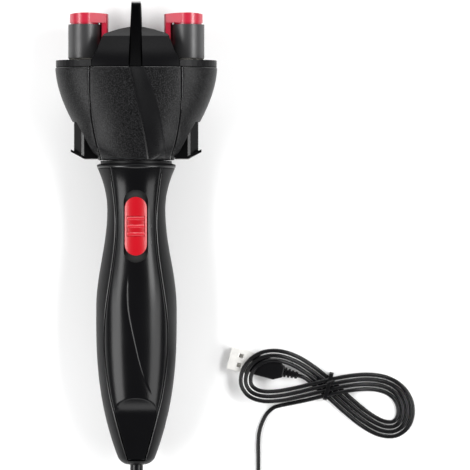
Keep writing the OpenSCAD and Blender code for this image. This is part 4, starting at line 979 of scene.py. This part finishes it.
def fin_depth(s):
    if s > 0.9:
        return FIN_TIP_D / 2 - 3.5 + 3.5 * sqrt(max(0.0, 1 - ((s - 0.9) / 0.1) ** 2))
    return mix(FIN_TIP_D / 2, REST_H - 0.2, (1 - s / 0.9) ** 1.5)


def make_fin():
    rings = []
    for s in evenly(0, 0.9, 30) + [0.9 + 0.1 * sin(a) for a in evenly(0.1, pi / 2, 12)]:
        z = DECK_Z + FIN_H * s
        half = mix(FIN_T / 2, FIN_TIP_T / 2, max(0.0, (z - DECK_TOP) / (TOOL_L - DECK_TOP)))
        deep = fin_depth(s)
        rings.append([(x, y, z) for x, y in rounded_box(half, -deep, deep, 1.0, 5)])
    obj = loft("fin_dressed", rings)
    cut(obj, deck_seat())
    soften(obj, 0.5, 3, 40)
    smooth_shade(obj, 35)
    stand_for(obj, "divider_fin")
    # Painted highlight: the top millimetre of the fin is painted light grey.
    touch(obj, fin_tip_painted_highlight, lambda x, y, z: z > TOOL_L - 1.0)


# ---------------------------------------------------------------- switch and collar
FRONT_Y = handle_y(0.0, SWITCH_Z)
TRAY_Y = FRONT_Y + 2.3
SLIDER_W, SLIDER_L, SLIDER_RISE = 11.9, 31.5, 0.9
SLIDER_R = -FRONT_Y + SLIDER_RISE
RIB_PITCH, RIB_W, RIB_DEPTH, RIB_R = 4.25, 9.8, 0.7, 1.1


def turned(name, profile, count=128):
    """A turned piece round the tool's own axis, from (radius, height) pairs."""
    n = len(profile)
    points = [lie(x, y, z) for r, z in profile for x, y in circle(0.0, 0.0, r, count)]
    faces = []
    for i in range(n):
        a, b = i * count, (i + 1) % n * count
        faces += [(a + j, a + (j + 1) % count, b + (j + 1) % count, b + j) for j in range(count)]
    return closed(name, points, faces)


def make_slider():
    outline = rounded_slot(SLIDER_W, SLIDER_L, 32)
    obj = prism("slider_dressed", outline, from_front, -REACH, TRAY_Y - 0.3)
    low, high = SWITCH_Z - 30, SWITCH_Z + 30
    combine(obj, "INTERSECT", turned("round", rectangle(0.5, low, SLIDER_R, high)))
    inner = SLIDER_R - RIB_DEPTH
    ring = turned("ring", rectangle(inner, low, REACH, high))
    half = RIB_PITCH * 1.3
    window = rectangle(-RIB_W / 2, SWITCH_Z - half, RIB_W / 2, SWITCH_Z + half)
    combine(ring, "INTERSECT", prism("window", window, from_front, -REACH, 0))
    cut(obj, ring)
    soften(obj, 0.45, 3, 35)
    smooth_shade(obj, 30)
    for i in (-1, 0, 1):
        path = [
            lie(x, -sqrt((SLIDER_R - RIB_R + 0.15) ** 2 - x**2), SWITCH_Z + i * RIB_PITCH) / MM
            for x in evenly(0.4 - RIB_W / 2, RIB_W / 2 - 0.4, 20)
        ]
        # The ribs wear the lighter red: a painted highlight.
        wear(tube("slider_rib", path, RIB_R), "switch_slider", rib_red_painted_highlight)
    stand_for(obj, "switch_slider")


RING_X, RING_Z, RING_W, RING_H = 7.9, 129.1, 0.55, 0.85
BARS_X, BARS_LOW, BARS_HIGH, BARS_GAP = 8.1, 119.5, 121.1, 0.35


def make_switch_marks():
    """Two small plain marks beside the switch: a ring and a pair of bars."""
    turn = evenly(0, 2 * pi, 28)
    strokes = [[(RING_X + RING_W * cos(a), RING_Z + RING_H * sin(a)) for a in turn]]
    for dx in (-BARS_GAP, BARS_GAP):
        strokes.append([(BARS_X + dx, z) for z in evenly(BARS_LOW, BARS_HIGH, 4)])
    for stroke in strokes:
        path = [lie(x, handle_y(x, z) + 0.03, z) / MM for x, z in stroke]
        mark = tube("switch_mark", path, 0.1, 8)
        paint(mark, mark_grey)
        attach(mark, BODY["handle_front_panel"])


COLLAR_R, GROOVE_R, BUSH_R = 21.3, 19.3, 13.5


def make_collar():
    """The rim above the handle and the groove under the head, as one turned ring."""
    z = HANDLE_L
    profile = [
        (BUSH_R, z - 3), (18.0, z - 3), (18.0, z), (TOP_D / 2 - 0.12, z), (TOP_D / 2, z + 0.12),
        (mix(TOP_D / 2, COLLAR_R, 0.4), z + 0.4), (mix(TOP_D / 2, COLLAR_R, 0.75), z + 0.72),
        (COLLAR_R - 0.04, z + 1.1), (COLLAR_R, z + 1.75),
        (COLLAR_R - 0.1, z + 2.05), (COLLAR_R - 0.4, z + 2.25), (COLLAR_R - 0.9, z + 2.4),
        (GROOVE_R, z + 2.7), (GROOVE_R, z + COLLAR_H - 0.2), (GROOVE_R - 0.2, z + COLLAR_H),
        (BUSH_R, z + COLLAR_H),
    ]
    obj = turned("collar_dressed", profile)
    smooth_shade(obj, 40)
    stand_for(obj, "neck_collar")
    touch(obj, edge_black, lambda x, y, z: HANDLE_L < z < HANDLE_L + 1.0)


# ---------------------------------------------------------------- cord, in the lying frame, in mm
HANK_X, HANK_Y, HANK_TURN = 104.0, -83.0, -14.6
HANK_A, HANK_B, HANK_BEND = 44.7, 23.0, 5.5
TURNS, STRAND_GAP = 4, 0.45
PLUG_W, PLUG_T, PLUG_L, RIB_L = 11.0, 7.0, 18.0, 8.0
USB_W, USB_T, SHELL_L = 12.0, 4.5, 12.5
TIE_T, TIE_W = 0.7, 2.2
PLUG_X, PLUG_Y = -17.5, 1.4
HANK_START, HANK_END, LOOP_RINGS = -30.0, 360.0 * (TURNS - 1) + 190, 24
STRAND = CORD_D + STRAND_GAP
FLOOR_Z = CORD_D / 2 + 0.05
UNDER_Z = FLOOR_Z + TIE_T + 0.15
OVER_Z = UNDER_Z + STRAND
PLUG_OVER_Z = PLUG_T + CORD_D / 2 + 0.15


# Height of a strand along one loop: (angle, height)
LOOP_HEIGHTS = [
    (0, OVER_Z), (12, OVER_Z), (40, FLOOR_Z), (140, FLOOR_Z), (168, UNDER_Z), (192, UNDER_Z),
    (218, PLUG_OVER_Z), (308, PLUG_OVER_Z), (348, OVER_Z),
]


def ease(t):
    u = min(1.0, max(0.0, t))
    return u * u * (3 - 2 * u)


def strand_z(t):
    if t < 0:
        return mix(OVER_Z, FLOOR_Z, ease(-t / 30))
    a = t % 360
    for (start, low), (end, high) in zip(LOOP_HEIGHTS, LOOP_HEIGHTS[1:]):
        if a < end:
            return mix(low, high, ease((a - start) / (end - start)))
    return OVER_Z


def strand_at(t):
    a = radians(t)
    x, y = HANK_A * sin(a), HANK_B * sin(a) * cos(a) - HANK_BEND * sin(a) ** 2
    dx, dy = HANK_A * cos(a), HANK_B * cos(2 * a) - HANK_BEND * sin(2 * a)
    size = hypot(dx, dy)
    shift = STRAND * (t / 360 - TURNS / 2 + 0.25)
    return x - dy / size * shift, y + dx / size * shift, strand_z(t)


def in_place(p):
    c, s = cos(radians(HANK_TURN)), sin(radians(HANK_TURN))
    return HANK_X + p[0] * c - p[1] * s, HANK_Y + p[0] * s + p[1] * c, p[2]


hank_steps = ceil((HANK_END - HANK_START) * LOOP_RINGS / 360)
hank_local = [strand_at(mix(HANK_START, HANK_END, i / hank_steps)) for i in range(hank_steps + 1)]
hank_local += [
    (PLUG_X + 4.6, PLUG_Y - 0.5, 2.8), (PLUG_X + CORD_D, PLUG_Y, PLUG_T / 2),
    (PLUG_X, PLUG_Y, PLUG_T / 2),
]
back = Vector(hank_local[0][:2]) - Vector(hank_local[1][:2])
back.normalize()
first = (hank_local[0][0] + CORD_D * back.x, hank_local[0][1] + CORD_D * back.y, hank_local[0][2])
hank_points = [in_place(p) for p in [first] + hank_local]

RELIEF_H = REST_H - TAIL_SET
LEAD_EXIT = (0.0, -TOOL_L / 2 - RELIEF_L, RELIEF_H)
lead_points = [
    LEAD_EXIT, (0.0, LEAD_EXIT[1] - 3, RELIEF_H), (0.0, LEAD_EXIT[1] - 10, RELIEF_H - 0.8),
    (1, -170, 14.5), (4, -180, 9), (9, -190, 4), (16, -199, 1.6),
]
lead_points += [
    (x, y, FLOOR_Z)
    for x, y in (
        (25, -206), (36, -210), (47, -209), (56, -203), (62, -194), (65, -184), (66, -173), (66, -162),
        (66, -151), (66, -140), (66, -130), (66, -121), (66, -113), (67, -106), (70, -99), (74, -95),
    )
]
lead_points.append(hank_points[0])


def fair(points, per_step):
    """A smooth curve through the points, with per_step places in each stretch."""
    vectors = [Vector(p) for p in points]
    ends = [2 * vectors[0] - vectors[1]] + vectors + [2 * vectors[-1] - vectors[-2]]
    curve = []
    for a, b, c, d in zip(ends, ends[1:], ends[2:], ends[3:]):
        for k in range(per_step):
            t = k / per_step
            square, cube = (2 * a - 5 * b + 4 * c - d) * t**2, (3 * b - a - 3 * c + d) * t**3
            curve.append(0.5 * (2 * b + (c - a) * t + square + cube))
    return curve + [vectors[-1]]


def tube(name, points, radius, sides=16):
    """A closed tube of lying points in mm, square at both ends."""
    path = [Vector(p) * MM for p in points]
    vertices, faces = [], []
    up = Vector((0, 0, 1))
    for i, p in enumerate(path):
        tangent = (path[min(i + 1, len(path) - 1)] - path[max(i - 1, 0)]).normalized()
        across_it = tangent.cross(up).normalized()
        lift = across_it.cross(tangent)
        for k in range(sides):
            a = 2 * pi * k / sides
            vertices.append(p + radius * MM * (cos(a) * across_it + sin(a) * lift))
    for i in range(len(path) - 1):
        for k in range(sides):
            a, b = i * sides + k, i * sides + (k + 1) % sides
            faces.append((a, b, b + sides, a + sides))
    faces += [tuple(range(sides)), tuple(range(len(vertices) - 1, len(vertices) - sides - 1, -1))]
    obj = closed(name, vertices, faces)
    smooth_shade(obj, 60)
    return obj


cord_curve = fair(lead_points, 6) + fair(hank_points, 4)[1:]
cord = tube("cord_dressed", cord_curve, CORD_D / 2)
stand_for(cord, "cord_lead", "cord_hank")


def lathe(name, profile, place, count=64):
    """A turned piece from (radius, height) pairs, set by place."""
    n = len(profile)
    vertices = [
        place(r * cos(a), r * sin(a), z)
        for a in (2 * pi * k / count for k in range(count))
        for r, z in profile
    ]
    faces = []
    for k in range(count):
        for i in range(n - 1):
            a, b = k * n + i, (k + 1) % count * n + i
            faces.append((a, b, b + 1, a + 1))
    return closed(name, vertices, faces)


def make_relief():
    """The tapered strain relief, with its hanging hole and a flange inside the tail."""
    at_tail = at(Matrix.Translation((0, -TOOL_L / 2, RELIEF_H)) @ Matrix.Rotation(radians(90), 4, "X"))
    big, small = RELIEF_D / 2, CORD_D / 2 + 0.7
    profile = [(0, -6.0), (big + 1, -6.0), (big + 1, -2.0), (big, -2.0)]
    profile += [(big, z) for z in evenly(-1.5, HANG_X, 4)]
    profile += [(mix(big, small, k / 12), mix(HANG_X, RELIEF_L - 0.4, k / 12)) for k in range(1, 13)]
    profile += [(small - 0.3, RELIEF_L), (0, RELIEF_L)]
    obj = lathe("relief_dressed", profile, at_tail)
    hole = circle(0.0, -HANG_X, HANG_D / 2, 32)
    cut(obj, prism("hole", hole, from_front, -REACH, REACH))
    soften(obj, 0.25, 2, 50)
    smooth_shade(obj, 35)
    return stand_for(obj, "strain_relief")


relief = make_relief()
at_hank = Matrix.Translation((HANK_X, HANK_Y, 0)) @ Matrix.Rotation(radians(HANK_TURN), 4, "Z")
at_plug = at_hank @ Matrix.Translation((PLUG_X, PLUG_Y, PLUG_T / 2))


def make_plug_body():
    half, start, end = PLUG_W / 2, -RIB_L + 0.2, -RIB_L - PLUG_L
    outline = [
        (start, -3), (start, 3), (-RIB_L - 4.5, half), (end + 1.2, half), (end, half - 1.2),
        (end, 1.2 - half), (end + 1.2, -half), (-RIB_L - 4.5, -half),
    ]
    obj = prism("plug_dressed", outline, at(at_plug), -PLUG_T / 2, PLUG_T / 2)
    soften(obj, 1.1, 4, 30)
    along_cord = at(at_plug @ Matrix.Rotation(radians(-90), 4, "Y"))
    neck = CORD_D / 2 + 0.5
    profile = [(0, 0.0), (neck, 0.0)]
    for i in range(4):
        z, r = 0.3 + i * RIB_L / 4, 2 + 0.25 * i
        profile += [
            (neck, z), (r - 0.2, z), (r, z + 0.2), (r, z + RIB_L / 4 - 0.9),
            (r - 0.2, z + RIB_L / 4 - 0.7), (neck, z + RIB_L / 4 - 0.7),
        ]
    profile += [(neck, RIB_L), (0, RIB_L)]
    ribs = lathe("plug_ribs", profile, along_cord, 48)
    smooth_shade(ribs, 40)
    smooth_shade(obj, 40)
    return stand_for(obj, "plug_body"), wear(ribs, "plug_body")


def make_plug_shell():
    place = at(at_plug @ Matrix.Translation((-RIB_L - PLUG_L, 0, 0)))
    w, t, wall = USB_W / 2, USB_T / 2, 0.4
    obj = prism("plug_shell_dressed", rectangle(-SHELL_L, -w, 0, w), place, -t, t)
    mouth = rectangle(-SHELL_L - 1, wall - w, -1, w - wall)
    tools = [prism("mouth", mouth, place, wall - t, t - 1.9)]
    for y in (-2.6, 2.6):
        hole = rectangle(-SHELL_L + 5, y - 1.1, -SHELL_L + 7.2, y + 1.1)
        tools.append(prism("window", hole, place, 0.0, 5.0))
    cut(obj, *tools)
    soften(obj, 0.3, 3, 50)
    smooth_shade(obj, 40)
    return stand_for(obj, "plug_shell")


def make_tie():
    """A flat tie round the waist of the hank, with its twisted ends standing up as a loop."""
    room = (TURNS / 2 - 0.25) * STRAND + CORD_D / 2 + 1.4
    top = OVER_Z + CORD_D / 2 + 0.1
    low, high, r = 0.05, top + TIE_T + 0.05, 1.6
    upright = at(at_hank @ Matrix(((0, 0, 1, 0), (1, 0, 0, 0), (0, 1, 0, 0), (0, 0, 0, 1))))

    def band(grow):
        floor_z, roof_z = low + TIE_T - grow, high - TIE_T + grow
        return rounded_box(room + grow, floor_z, roof_z, r + grow - 0.6, 6)

    obj = prism("tie_dressed", band(TIE_T), upright, -TIE_W / 2, TIE_W / 2)
    cut(obj, prism("room", band(0.0), upright, -TIE_W, TIE_W))
    soften(obj, 0.2, 2, 40)
    smooth_shade(obj, 35)
    bow_at = at_hank @ Matrix.Translation((0, 2.5, high + 1.85)) @ Matrix.Rotation(radians(35), 4, "Z")
    bow_r = 1.9
    bow_path = [bow_at @ Vector((bow_r * cos(a), 0, bow_r * sin(a))) for a in evenly(0, 2 * pi, 40)]
    return stand_for(obj, "cord_tie"), wear(tube("tie_bow", bow_path, 0.42, 10), "cord_tie")


plug, plug_ribs = make_plug_body()
plug_end = make_plug_shell()
tie, tie_bow = make_tie()

tuple(v * MM for v in LEAD_EXIT)
[tuple(p * MM) for p in cord_curve]

# ---------------------------------------------------------------- pieces
make_handle_panel()
make_rear_shell()
make_head_front()
make_head_rear()
make_side_cover(-1, "left_side_cover")
make_side_cover(1, "right_side_cover")
make_lever(-1, "left_lever")
make_lever(1, "right_lever")
make_dome()
make_fin()
make_slider()
make_switch_marks()
make_collar()

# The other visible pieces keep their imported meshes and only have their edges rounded.
for edge, names in (
    (0.3, ("left_barrel", "right_barrel", "deck_plate", "switch_tray")),
    (0.25, ("left_hook", "right_hook")),
):
    for name in names:
        soften(frame["nodes"][name], edge, 3, 32)


# ---------------------------------------------------------------- stage and lights
def make_floor():
    m = Material("floor", Roughness=0.65, Specular_IOR_Level=0.2)
    m.tone(m.noise(4.0), (0.3, (0.92, 0.92, 0.92)), (0.7, (0.95, 0.95, 0.95)))
    size = 3.0
    corners = [(x, y, 0) for x, y in rectangle(-size, -size, size, size)]
    floor = new_object("floor", corners, [(0, 1, 2, 3)])
    paint(floor, m.material)


def area_light(name, place, target, width, height, power):
    data = bpy.data.lights.new(name, "AREA")
    data.shape, data.size, data.size_y, data.energy = "RECTANGLE", width, height, power
    light = bpy.data.objects.new(name, data)
    light.location = place
    light.rotation_euler = (Vector(target) - Vector(place)).to_track_quat("-Z", "Y").to_euler()
    bpy.context.scene.collection.objects.link(light)


make_floor()
world = bpy.data.worlds.new("studio")
world.use_nodes = True
world.node_tree.nodes["Background"].inputs["Color"].default_value = (1, 1, 1, 1)
world.node_tree.nodes["Background"].inputs["Strength"].default_value = 0.08
bpy.context.scene.world = world
area_light("handle_left", (-0.95, -0.35, 0.8), (0, -0.35, 0), 0.84, 0.7, 15)
area_light("handle_right", (0.95, -0.35, 0.8), (0, -0.35, 0), 0.84, 0.7, 10)
area_light("head_left", (-0.72, 0.27, 0.85), (0, 0.27, 0), 0.5, 0.3, 4)
area_light("head_right", (0.72, 0.27, 0.85), (0, 0.27, 0), 0.5, 0.3, 7)
area_light("top_end", (0.05, 1.35, 0.42), (0, 0.05, 0), 1.3, 0.3, 12)
area_light("tail_end", (0.05, -1.2, 0.45), (0, -0.05, 0), 1.3, 0.3, 4)
bpy.context.scene.view_settings.view_transform = "Standard"
